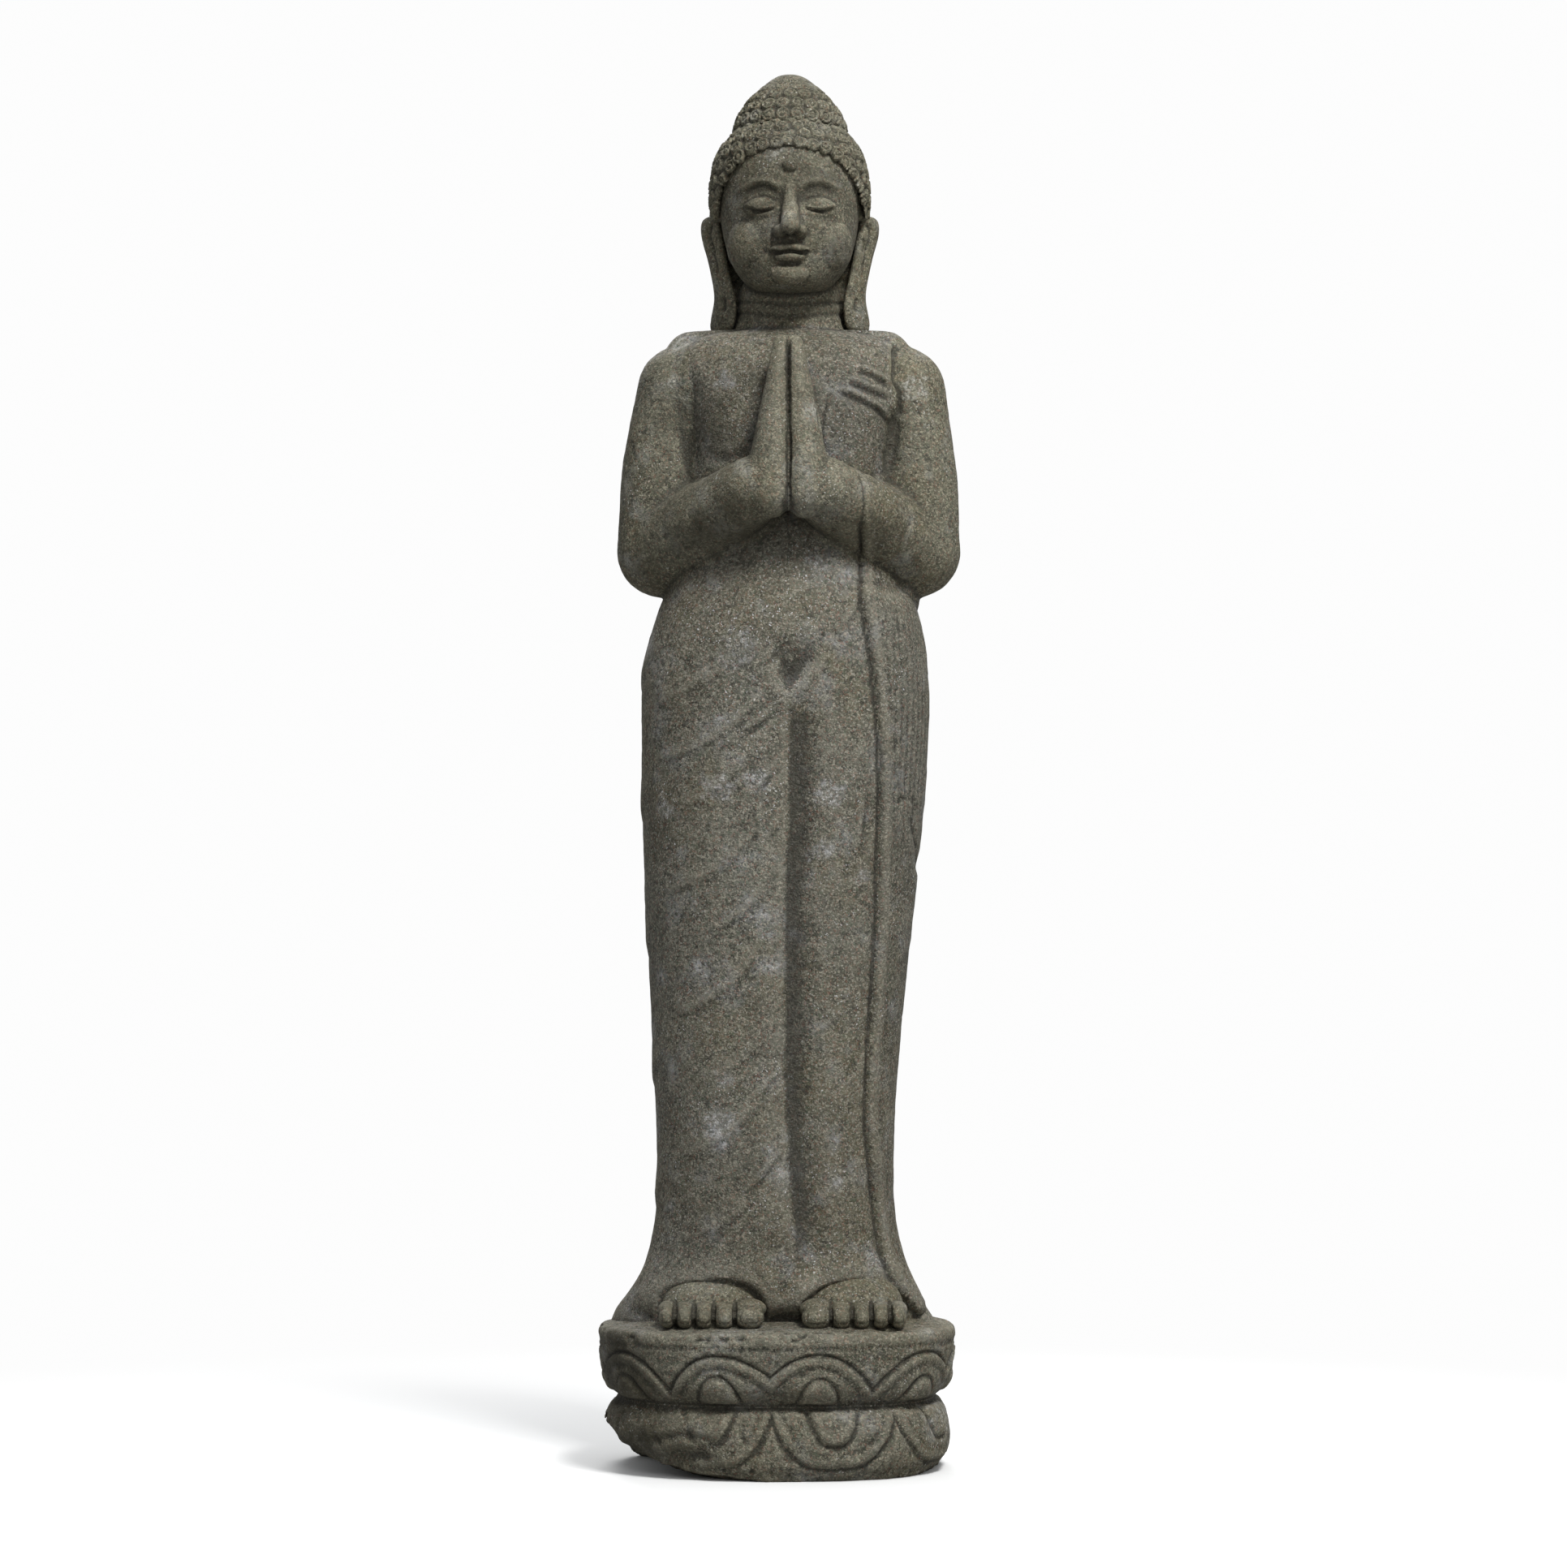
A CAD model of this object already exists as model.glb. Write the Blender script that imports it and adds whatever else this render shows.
import math

import bpy
import numpy as np
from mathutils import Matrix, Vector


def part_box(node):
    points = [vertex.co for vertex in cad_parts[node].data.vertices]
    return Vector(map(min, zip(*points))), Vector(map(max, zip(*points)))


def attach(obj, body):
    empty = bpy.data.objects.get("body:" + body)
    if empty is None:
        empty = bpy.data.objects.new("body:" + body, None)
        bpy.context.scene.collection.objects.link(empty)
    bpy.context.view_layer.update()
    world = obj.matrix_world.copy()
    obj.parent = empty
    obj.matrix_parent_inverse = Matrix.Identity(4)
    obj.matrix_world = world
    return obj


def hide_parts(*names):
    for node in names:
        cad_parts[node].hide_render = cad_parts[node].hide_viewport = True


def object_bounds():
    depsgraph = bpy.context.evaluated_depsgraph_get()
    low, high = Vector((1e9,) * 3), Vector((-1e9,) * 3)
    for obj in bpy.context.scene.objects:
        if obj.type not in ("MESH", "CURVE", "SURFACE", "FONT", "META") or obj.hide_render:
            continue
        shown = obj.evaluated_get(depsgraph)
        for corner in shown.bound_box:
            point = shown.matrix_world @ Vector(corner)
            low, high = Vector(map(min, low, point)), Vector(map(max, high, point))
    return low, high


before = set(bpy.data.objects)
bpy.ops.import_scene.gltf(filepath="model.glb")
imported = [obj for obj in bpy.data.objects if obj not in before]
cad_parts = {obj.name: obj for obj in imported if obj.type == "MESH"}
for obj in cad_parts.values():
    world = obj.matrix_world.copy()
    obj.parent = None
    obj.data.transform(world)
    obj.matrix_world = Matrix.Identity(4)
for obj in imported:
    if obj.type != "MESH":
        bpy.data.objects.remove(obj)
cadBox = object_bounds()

coarse = 1.0  # grain of the clay while trying things out
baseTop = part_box("upper_lotus")[1].z
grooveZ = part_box("lower_lotus")[1].z
crownTop = cadBox[1].z
figureX = 0.012  # the figure stands a little to its own left on the base
headX = 0.014


# --- small helpers for selecting, finishing and reading meshes


def only(piece):
    if bpy.context.object and bpy.context.object.mode != "OBJECT":
        bpy.ops.object.mode_set(mode="OBJECT")
    bpy.ops.object.select_all(action="DESELECT")
    piece.select_set(True)
    bpy.context.view_layer.objects.active = piece


def finishWith(piece, kind, **values):
    only(piece)
    step = piece.modifiers.new(kind.title(), kind)
    for key, value in values.items():
        setattr(step, key, value)
    bpy.ops.object.modifier_apply(modifier=step.name)


def pointValues(piece, key):
    flat = np.empty(len(piece.data.vertices) * 3, np.float32)
    piece.data.vertices.foreach_get(key, flat)
    return flat.reshape(-1, 3).astype(float)


def places(piece):
    return pointValues(piece, "co")


def outward(piece):
    return pointValues(piece, "normal")


def movePoints(piece, at):
    piece.data.vertices.foreach_set("co", at.astype(np.float32).ravel())
    piece.data.update()


def joined(name, parts):
    only(parts[0])
    for part in parts:
        part.select_set(True)
    bpy.ops.object.transform_apply(location=True, rotation=True, scale=True)
    if len(parts) > 1:
        bpy.ops.object.join()
    whole = bpy.context.object
    whole.name = name
    return whole


def copyOf(piece, name):
    only(piece)
    bpy.ops.object.duplicate()
    twin = bpy.context.object
    twin.name = name
    return twin


def drop(*pieces):
    for piece in pieces:
        bpy.data.objects.remove(piece, do_unlink=True)


# --- rough forms: stacked sections, limbs and eggs


def stacked(name, rows, power=2.15, sides=40):
    # a rounded section, extruded and resized from row to row: z, x, y, half width, half depth
    z, x, y, halfWidth, halfDepth = rows[0]
    bpy.ops.mesh.primitive_circle_add(vertices=sides, radius=1, fill_type="NGON")
    ring = bpy.context.object
    ring.name = name
    at = places(ring)
    squared = np.sign(at[:, :2]) * np.abs(at[:, :2]) ** (2 / power)
    at[:, :2] = squared * (halfWidth, halfDepth) + (x, y)
    at[:, 2] = z
    movePoints(ring, at)
    bpy.ops.object.mode_set(mode="EDIT")
    bpy.ops.mesh.select_mode(type="FACE")
    bpy.ops.mesh.select_all(action="SELECT")
    for before, row in zip(rows, rows[1:]):
        shift = (row[1] - before[1], row[2] - before[2], row[0] - before[0])
        bpy.ops.mesh.extrude_region_move(TRANSFORM_OT_translate={"value": shift})
        grow = (row[3] / before[3], row[4] / before[4], 1)
        bpy.ops.transform.resize(value=grow, center_override=(row[1], row[2], row[0]))
    bpy.ops.mesh.select_all(action="SELECT")
    bpy.ops.mesh.normals_make_consistent(inside=False)
    bpy.ops.object.mode_set(mode="OBJECT")
    finishWith(ring, "SUBSURF", levels=2, render_levels=2)
    return ring


def grown(rows, by):
    return [(z, x, y, halfWidth + by, halfDepth + by) for z, x, y, halfWidth, halfDepth in rows]


def limb(start, end, startRadius, endRadius):
    # a tapered round limb with ball ends
    a, b = np.array(start, float), np.array(end, float)
    along = b - a
    length = float(np.linalg.norm(along))
    lean = math.acos(along[2] / length)
    turn = math.atan2(along[1], along[0])
    bpy.ops.mesh.primitive_cone_add(vertices=48, radius1=startRadius, radius2=endRadius, depth=length,
                                    location=(a + b) / 2, rotation=(0, lean, turn))
    parts = [bpy.context.object]
    for place, radius in ((a, startRadius), (b, endRadius)):
        bpy.ops.mesh.primitive_uv_sphere_add(segments=48, ring_count=24, radius=radius, location=place)
        parts.append(bpy.context.object)
    return joined("limb", parts)


def egg(place, halves, lean=(0, 0, 0)):
    bpy.ops.mesh.primitive_uv_sphere_add(segments=48, ring_count=24, radius=1, location=place,
                                         rotation=[math.radians(a) for a in lean], scale=halves)
    return bpy.context.object


def clayOf(name, parts, grain, softness):
    # joins the rough forms into one skin and rounds its creases like worn stone
    lump = joined(name, parts)
    grain = grain * coarse
    finishWith(lump, "REMESH", mode="VOXEL", voxel_size=grain)
    rounds = max(2, int(round((softness / grain) ** 2)))
    finishWith(lump, "SMOOTH", factor=0.5, iterations=rounds)
    return lump


# --- carving: every mark moves the points of the skin along its outward direction


def smoothLine(corners, between=5):
    p = np.array(corners, float)
    p = np.vstack([2 * p[0] - p[1], p, 2 * p[-1] - p[-2]])
    line = []
    for a, b, c, d in zip(p, p[1:], p[2:], p[3:]):
        for s in np.linspace(0, 1, between, endpoint=False):
            square, cube = (2 * a - 5 * b + 4 * c - d) * s**2, (3 * b - a - 3 * c + d) * s**3
            line.append(0.5 * (2 * b + (c - a) * s + square + cube))
    line.append(p[-2])
    return np.array(line)


def fromLine(flat, line):
    # how far each point is from a drawn line, on which side, and how far along
    near = np.full(len(flat), 9.0)
    side, share = np.ones(len(flat)), np.zeros(len(flat))
    for number, (a, b) in enumerate(zip(line, line[1:])):
        along = b - a
        t = np.clip((flat - a) @ along / (along @ along), 0, 1)
        off = flat - a - t[:, None] * along
        gap = np.hypot(off[:, 0], off[:, 1])
        closer = gap < near
        near[closer] = gap[closer]
        side[closer] = np.sign(along[0] * off[closer, 1] - along[1] * off[closer, 0])
        share[closer] = (number + t[closer]) / (len(line) - 1)
    return near, side, share


def smoothStep(value, low, high):
    t = np.clip((value - low) / (high - low), 0, 1)
    return t * t * (3 - 2 * t)


def between(value, low, full, fullEnd, high):
    # 1 from full to fullEnd, dying away to low and to high
    return smoothStep(value, low, full) * (1 - smoothStep(value, fullEnd, high))


def bump(value, middle, width):
    return np.exp(-(((value - middle) / width) ** 2))


viewAxes = {  # two drawing axes, the axis looked along and the facing sign
    "front": (0, 2, 1, -1),
    "back": (0, 2, 1, 1),
    "right": (1, 2, 0, -1),
}


def mark(clay, corners, width, lift, shape="round", view="front", fade=0.2, reach=0.02, facing=0.1):
    # one stroke of the chisel: lift above 0 leaves a ridge, below 0 a groove
    at, out = clay["at"], clay["out"]
    u, v, look, sign = viewAxes[view]
    line = smoothLine(corners)
    room = 4 * width + (reach * 2 if shape == "edge" else 0)
    low, high = line.min(0) - room, line.max(0) + room
    flat = at[:, (u, v)]
    seen = out[:, look] * sign
    inside = np.nonzero((flat > low).all(1) & (flat < high).all(1) & (seen > facing - 0.1))[0]
    if not len(inside):
        return
    near, side, share = fromLine(flat[inside], line)
    if shape == "round":
        height = np.exp(-((near / width) ** 2))
    elif shape == "sharp":
        height = np.exp(-(near / width) ** 1.2)
    else:  # the edge of a cloth: a step that dies away over its reach
        gap = near * side
        height = smoothStep(gap, -width, width) * np.exp(-((np.maximum(gap, 0) / reach) ** 2))
    if fade:
        height *= smoothStep(share, 0, fade) * smoothStep(1 - share, 0, fade)
    height *= smoothStep(seen[inside], facing - 0.1, facing + 0.2)
    at[inside] += out[inside] * (height * lift)[:, None]


def dab(clay, place, halves, lift, facing=None):
    # a soft round swelling or dent about a point in space
    at, out = clay["at"], clay["out"]
    off = (at - place) / halves
    far = (off**2).sum(1)
    inside = far < 6
    height = np.exp(-far[inside])
    if facing is not None:
        height *= smoothStep(out[inside] @ np.array(facing, float), 0, 0.5)
    at[inside] += out[inside] * (height * lift)[:, None]


def keepValue(piece, name, value):
    # a value for each point of the skin, instead of one that a cut may have brought along
    layers = piece.data.attributes
    if name in layers:
        layers.remove(layers[name])
    layers.new(name, "FLOAT", "POINT").data.foreach_set("value", np.clip(value, 0, 1).astype(np.float32))


def grainNoise(at, size, seed):
    # smooth random values from -1 to 1 on a lattice of that size
    cells = 32
    lattice = np.random.default_rng(seed).uniform(-1, 1, (cells, cells, cells))
    scaled = at / size + 1000
    whole = np.floor(scaled).astype(int)
    t = scaled - whole
    t = t * t * (3 - 2 * t)
    total = np.zeros(len(at))
    for dx in (0, 1):
        for dy in (0, 1):
            for dz in (0, 1):
                weight = np.where(dx, t[:, 0], 1 - t[:, 0]) * np.where(dy, t[:, 1], 1 - t[:, 1])
                weight *= np.where(dz, t[:, 2], 1 - t[:, 2])
                total += weight * lattice[(whole[:, 0] + dx) % cells, (whole[:, 1] + dy) % cells,
                                          (whole[:, 2] + dz) % cells]
    return total


def clayState(piece):
    return {"at": places(piece), "out": outward(piece)}


def refresh(piece, clay):
    movePoints(piece, clay["at"])
    clay["out"] = outward(piece)


weather = {"broad": (0.055, 0.0009), "middle": (0.016, 0.00045), "fine": (0.006, 0.00022),
           "pitSize": 0.012, "pitDepth": 0.0005, "pitRange": (0.42, 0.6)}


def weatherStone(clay, strength=1.0):
    # hand-dressed unevenness and small pits
    at, out = clay["at"], clay["out"]
    height = np.zeros(len(at))
    for number, key in enumerate(("broad", "middle", "fine")):
        size, lift = weather[key]
        height += lift * grainNoise(at, size, 11 + number)
    pits = grainNoise(at, weather["pitSize"], 21) * 0.6 + grainNoise(at, weather["pitSize"] / 2.3, 22) * 0.4
    height -= weather["pitDepth"] * smoothStep(pits, *weather["pitRange"])
    at += out * (height * strength)[:, None]


bend = {  # rounds of smoothing, and the heights at which a value is full
    "rounds": ((10, 64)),
    "fineFull": 0.0006,
    "broadHollow": 0.0058,
    "broadEdge": 0.006,
    "hollowFrom": 0.14,
}


def rubHollows(piece, clay):
    # hollow and edge values for the weathering of the colour, from how the skin bends over 3 and 12 mm
    edges = np.empty(len(piece.data.edges) * 2, np.int32)
    piece.data.edges.foreach_get("vertices", edges)
    a, b = edges.reshape(-1, 2).T
    count = len(clay["at"])
    times = np.bincount(a, minlength=count) + np.bincount(b, minlength=count)
    times = np.maximum(times, 1)
    smooth = clay["at"].copy()
    bends = []
    for rounds in bend["rounds"]:
        for _ in range(rounds):
            total = np.stack([np.bincount(a, smooth[b, k], count) + np.bincount(b, smooth[a, k], count)
                              for k in range(3)], 1)
            smooth = 0.4 * smooth + 0.6 * total / times[:, None]
        bends.append(((clay["at"] - smooth) * clay["out"]).sum(1))
    fine, broad = bends
    keepValue(piece, "hollow", -fine / bend["fineFull"] - broad / bend["broadHollow"] - bend["hollowFrom"])
    keepValue(piece, "edge", fine / bend["fineFull"] + broad / bend["broadEdge"])


def weatherAndRub(piece, clay, strength=1.0):
    # the last steps on the skin of every stone
    weatherStone(clay, strength)
    refresh(piece, clay)
    rubHollows(piece, clay)


# --- cutting one skin into its stones

cutterGrain = 0.005


def cutWith(piece, cutter, keep):
    only(piece)
    step = piece.modifiers.new("Cut", "BOOLEAN")
    step.solver = "MANIFOLD"
    step.operation = "INTERSECT" if keep else "DIFFERENCE"
    step.object = cutter
    bpy.ops.object.modifier_apply(modifier=step.name)
    return piece


def block(name, low, high):
    low, high = np.array(low, float), np.array(high, float)
    bpy.ops.mesh.primitive_cube_add(size=1, location=(low + high) / 2, scale=high - low)
    bpy.context.object.name = name
    bpy.ops.object.transform_apply(location=True, rotation=True, scale=True)
    return bpy.context.object


def cutBlock(piece, low, high):
    cutter = block("cutter", low, high)
    cutWith(piece, cutter, False)
    drop(cutter)


def solidSkin(name, parts):
    # a cutter: rough forms as one closed skin
    lump = joined(name, parts)
    finishWith(lump, "REMESH", mode="VOXEL", voxel_size=cutterGrain)
    return lump


def plate(name, outline, frontY, deep):
    # a flat outline in x and z, extruded from front to back
    bpy.ops.mesh.primitive_circle_add(vertices=len(outline), radius=1, fill_type="NGON")
    slab = bpy.context.object
    slab.name = name
    movePoints(slab, np.array([(x, frontY, z) for x, z in outline]))
    bpy.ops.object.mode_set(mode="EDIT")
    bpy.ops.mesh.select_all(action="SELECT")
    bpy.ops.mesh.extrude_region_move(TRANSFORM_OT_translate={"value": (0, deep, 0)})
    bpy.ops.mesh.select_all(action="SELECT")
    bpy.ops.mesh.normals_make_consistent(inside=False)
    bpy.ops.object.mode_set(mode="OBJECT")
    return slab


# --- the stone: one recipe, tuned for each finish

stoneTones = {
    "olive": (0.097, 0.085, 0.045),
    "grey": (0.109, 0.105, 0.074),
    "blueGrey": (0.198, 0.200, 0.178),
    "dark": (0.022, 0.020, 0.013),
    "pale": (0.345, 0.318, 0.220),
    "rust": (0.235, 0.092, 0.052),
    "moss": (0.052, 0.083, 0.043),
    "white": (0.710, 0.700, 0.620),
    "soil": (0.027, 0.023, 0.011),
}


def addNode(tree, kind, inputs=None, **settings):
    # a new node with its settings; each input is given a value or another node's output
    node = tree.nodes.new("ShaderNode" + kind)
    for key, value in settings.items():
        setattr(node, key, value)
    for key, value in (inputs or {}).items():
        if isinstance(value, bpy.types.NodeSocket):
            tree.links.new(value, node.inputs[key])
        else:
            node.inputs[key].default_value = value
    return node.outputs


broadPatches = [  # scale, detail, roughness, where it begins and is full, offset, strength, tone
    (6, 4, 0.6, 0.38, 0.62, (0, 3, 0), 1.0, "grey"),
    (9, 5, 0.65, 0.42, 0.70, (5, 0, 2), 0.50, "soil"),
    (24, 4, 0.55, 0.52, 0.68, (2, 5, 1), 0.62, "blueGrey"),
    (24, 4, 0.55, 0.64, 0.78, (2, 5, 1), 0.45, "white"),
    (40, 4, 0.6, 0.46, 0.66, (9, 1, 3), 0.36, "soil"),
    (70, 5, 0.7, 0.48, 0.75, (7, 2, 9), 0.50, "dark"),
]
weathering = [("edge", 0.20, "pale"), ("stain", 0.84, "soil"), ("hollow", 0.72, "dark")]  # value, strength, tone
stoneShine = 0.38
reliefDepth = 0.0010


def stoneMaterial(name, grainSize, contrast, rough, bumpStrength, cool):
    material = bpy.data.materials.new(name)
    material.use_nodes = True
    tree = material.node_tree
    shader = tree.nodes["Principled BSDF"]
    coordinates = addNode(tree, "TexCoord")["Object"]

    def shifted(vector, offset):
        return addNode(tree, "Mapping", {"Vector": vector, "Location": offset})["Vector"]

    def ranged(value, low, high, toLow=0.0, toHigh=1.0):
        limits = {"Value": value, "From Min": low, "From Max": high, "To Min": toLow, "To Max": toHigh}
        return addNode(tree, "MapRange", limits, interpolation_type="SMOOTHSTEP")["Result"]

    def noise(scale, detail, roughness, low, high, offset=(0, 0, 0)):
        values = {"Vector": shifted(coordinates, offset), "Scale": scale, "Detail": detail, "Roughness": roughness}
        return ranged(addNode(tree, "TexNoise", values)["Fac"], low, high)

    def maths(operation, a, b):
        return addNode(tree, "Math", {0: a, 1: b}, operation=operation)["Value"]

    def mixed(share, strength, a, b):
        values = {"Factor": maths("MULTIPLY", share, strength), "A": a, "B": b}
        return addNode(tree, "Mix", values, data_type="RGBA")["Result"]

    def skinValue(label):
        return addNode(tree, "Attribute", attribute_name=label)["Fac"]

    # the grains' edges wander: their coordinates are pushed about by a fine noise
    push = addNode(tree, "TexNoise", {"Vector": coordinates, "Scale": 0.9 / grainSize, "Detail": 2})["Color"]
    pushed = addNode(tree, "VectorMath", {0: push, 1: (1.6 * grainSize,) * 3, 2: coordinates},
                     operation="MULTIPLY_ADD")["Vector"]

    def grains(scale, offset):
        texture = addNode(tree, "TexVoronoi", {"Vector": shifted(pushed, offset), "Scale": scale})
        return addNode(tree, "SeparateColor", {"Color": texture["Color"]}), texture["Distance"]

    tones = {key: (r, g * (1 + 0.02 * cool), b * (1 + 0.22 * cool), 1) for key, (r, g, b) in stoneTones.items()}
    coarseGrain, coarseGap = grains(1 / grainSize, (0, 0, 0))
    fineGrain, fineGap = grains(2.1 / grainSize, (3.1, 1.7, 0.4))
    # body colour, from broad to fine
    colour = tones["olive"]
    for scale, detail, roughness, low, high, offset, strength, tone in broadPatches:
        colour = mixed(noise(scale, detail, roughness, low, high, offset), strength, colour, tones[tone])
    # the mineral grains
    minerals = [
        (ranged(coarseGrain["Red"], 0.05, 0.55, 1, 0), 0.80, "dark"),
        (noise(1.1 / grainSize, 2, 0.7, 0.50, 0.74), 0.60, "pale"),
        (ranged(fineGrain["Green"], 0.70, 0.98), 0.60, "pale"),
        (ranged(fineGrain["Blue"], 0.86, 0.95), 0.32, "rust"),
        (ranged(fineGrain["Blue"], 0.06, 0.18, 1, 0), 0.45, "moss"),
    ]
    for share, strength, tone in minerals:
        colour = mixed(share, strength * contrast, colour, tones[tone])
    whiteGrain = maths("MULTIPLY", ranged(fineGrain["Red"], 0.930, 0.960), ranged(fineGap, 0.30, 0.60, 1, 0))
    gathered = noise(14, 4, 0.6, 0.44, 0.70, (4, 4, 2))
    colour = mixed(whiteGrain, maths("ADD", maths("MULTIPLY", gathered, 0.75), 0.10), colour, tones["white"])
    # rubbed, hollow and stained places
    scuff = maths("MULTIPLY", skinValue("scuff"), noise(190, 4, 0.75, 0.48, 0.60, (1, 8, 3)))
    colour = mixed(skinValue("scuff"), 0.28, colour, tones["blueGrey"])
    colour = mixed(scuff, 0.42, colour, tones["white"])
    for label, strength, tone in weathering:
        colour = mixed(skinValue(label), strength, colour, tones[tone])
    height = maths("ADD", maths("MULTIPLY", coarseGap, -0.7), maths("MULTIPLY", noise(520, 3, 0.6, 0.2, 0.8), 1.0))
    height = maths("ADD", height, maths("MULTIPLY", noise(110, 5, 0.7, 0.2, 0.8, (6, 1, 4)), 1.6))
    relief = addNode(tree, "Bump", {"Strength": bumpStrength, "Distance": reliefDepth, "Height": height})["Normal"]
    shader.inputs["Specular IOR Level"].default_value = stoneShine
    roughness = ranged(fineGrain["Red"], 0.0, 1.0, rough + 0.08, rough - 0.16)
    for key, value in (("Base Color", colour), ("Roughness", roughness), ("Normal", relief)):
        tree.links.new(value, shader.inputs[key])
    return material


finishes = {  # grain size, grain contrast, roughness, bump strength, how cool the grey is
    "base_stone": stoneMaterial("weatheredBaseStone", 0.0036, 1.0, 0.86, 0.80, 0.45),
    "robe_stone": stoneMaterial("dressedRobeStone", 0.0034, 1.0, 0.82, 0.70, 0.75),
    "skin_stone": stoneMaterial("rubbedSkinStone", 0.0034, 0.95, 0.80, 0.65, 0.20),
    "hair_stone": stoneMaterial("curledHairStone", 0.0034, 1.0, 0.84, 0.75, 0.10),
}

scuffs = [  # pale rubbed places: x, y, z, radius, strength
    (-0.017, -0.10, 0.725, 0.016, 1.0), (-0.060, -0.10, 0.712, 0.020, 0.8), (0.057, -0.10, 0.708, 0.016, 0.8),
    (0.047, -0.10, 0.648, 0.018, 1.0), (0.085, -0.08, 0.620, 0.013, 0.9), (-0.115, -0.06, 0.690, 0.012, 0.8),
    (0.020, -0.10, 0.560, 0.010, 0.8), (-0.062, -0.10, 0.360, 0.022, 0.9), (-0.058, -0.10, 0.405, 0.012, 0.7),
    (0.005, -0.10, 0.350, 0.009, 0.7), (0.060, -0.10, 0.300, 0.012, 0.7), (-0.040, -0.10, 0.860, 0.030, 0.5),
    (0.045, -0.10, 0.950, 0.014, 0.7), (-0.110, -0.04, 1.150, 0.018, 0.6), (-0.055, -0.09, 1.150, 0.016, 0.5),
    (0.148, -0.03, 1.150, 0.016, 0.8), (-0.003, -0.08, 1.395, 0.012, 0.8), (0.184, -0.03, 0.060, 0.040, 0.8),
    (0.010, -0.10, 0.130, 0.030, 0.4), (-0.090, 0.09, 0.800, 0.030, 0.6), (0.060, 0.10, 0.500, 0.025, 0.6),
    (0.020, 0.10, 1.080, 0.030, 0.5), (-0.060, 0.10, 0.330, 0.025, 0.6),
]

grime = [  # broad darker places: x, y, z, the three radii, strength
    (0.014, -0.09, 1.335, 0.090, 0.12, 0.080, 0.74), (0.014, 0.00, 1.500, 0.100, 0.12, 0.080, 0.34),
    (-0.045, -0.09, 1.110, 0.070, 0.06, 0.080, 0.70), (0.060, -0.09, 1.120, 0.050, 0.05, 0.060, 0.36),
    (-0.080, -0.09, 0.992, 0.080, 0.09, 0.032, 0.85), (0.105, -0.09, 1.000, 0.080, 0.09, 0.036, 0.50),
    (-0.150, -0.02, 0.950, 0.030, 0.08, 0.035, 0.30), (-0.160, 0.00, 0.600, 0.036, 0.09, 0.500, 0.18),
    (0.130, -0.03, 0.650, 0.040, 0.08, 0.400, 0.28), (-0.190, -0.08, 0.125, 0.050, 0.12, 0.045, 1.10),
    (-0.150, -0.12, 0.035, 0.060, 0.12, 0.060, 1.10), (0.000, -0.14, 0.085, 0.220, 0.10, 0.014, 0.42),
    (-0.125, -0.02, 1.100, 0.040, 0.07, 0.120, 0.28), (0.010, -0.10, 0.300, 0.130, 0.06, 0.170, 0.12),
    (0.010, 0.12, 0.500, 0.160, 0.06, 0.500, 0.14), (-0.020, -0.10, 0.250, 0.120, 0.08, 0.090, 0.20),
    (0.014, 0.00, 1.235, 0.080, 0.10, 0.022, 0.22), (-0.070, -0.13, 0.175, 0.065, 0.05, 0.030, 0.30),
    (0.085, -0.13, 0.175, 0.065, 0.05, 0.030, 0.20),
]


dirt = {
    "valleyX": 0.022,
    "valleyWidth": 0.018,
    "valleyWander": 0.006,
    "valleySpan": (0.16, 0.34, 0.76, 0.86),
    "valleyStain": 0.14,
    "underArmSpan": (0.90, 0.94, 0.985, 1.03),
    "underArmStain": 0.10,
}


def paint(piece):
    # scuff and stain values, from places in space
    at = places(piece)
    scuff = np.zeros(len(at))
    ragged = 0.50 * grainNoise(at, 0.008, 34) + 0.25 * grainNoise(at, 0.020, 35)
    for x, y, z, radius, strength in scuffs:
        gap = np.sqrt(((at - (x, y, z)) ** 2 * (1, 0.15, 1)).sum(1)) + radius * ragged
        scuff = np.maximum(scuff, strength * smoothStep(-gap, -radius * 1.05, -radius * 0.30))
    x, y, z = at.T
    wander = dirt["valleyWander"] * grainNoise(at, 0.06, 32)
    valley = bump(x, dirt["valleyX"] + wander, dirt["valleyWidth"]) * (y < -0.03)
    stain = dirt["valleyStain"] * valley * between(z, *dirt["valleySpan"])
    underArm = between(z, *dirt["underArmSpan"]) * (y < -0.02) * (1 - smoothStep(np.abs(x - figureX), 0.10, 0.17))
    stain = np.maximum(stain, dirt["underArmStain"] * underArm)
    for x, y, z, wide, deep, high, strength in grime:
        far = (((at - (x, y, z)) / (wide, deep, high)) ** 2).sum(1)
        stain = np.maximum(stain, 0) + strength * np.exp(-far)
    stain *= 0.70 + 0.6 * grainNoise(at, 0.035, 31) + 0.3 * grainNoise(at, 0.012, 33)
    keepValue(piece, "scuff", scuff)
    keepValue(piece, "stain", stain)


def dropFlakes(piece):
    # paper-thin leftovers of the cutting: pairs of faces over the same corners
    pairs = {}
    for face in piece.data.polygons:
        pairs.setdefault(tuple(sorted(face.vertices)), []).append(face.index)
    flakes = [number for pair in pairs.values() if len(pair) > 1 for number in pair]
    if not flakes:
        return
    only(piece)
    chosen = np.zeros(len(piece.data.polygons), bool)
    chosen[flakes] = True
    bpy.ops.object.mode_set(mode="EDIT")
    bpy.ops.mesh.select_mode(type="FACE")
    bpy.ops.mesh.select_all(action="DESELECT")
    bpy.ops.object.mode_set(mode="OBJECT")
    piece.data.polygons.foreach_set("select", chosen)
    bpy.ops.object.mode_set(mode="EDIT")
    bpy.ops.mesh.delete(type="FACE")
    bpy.ops.object.mode_set(mode="OBJECT")


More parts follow.
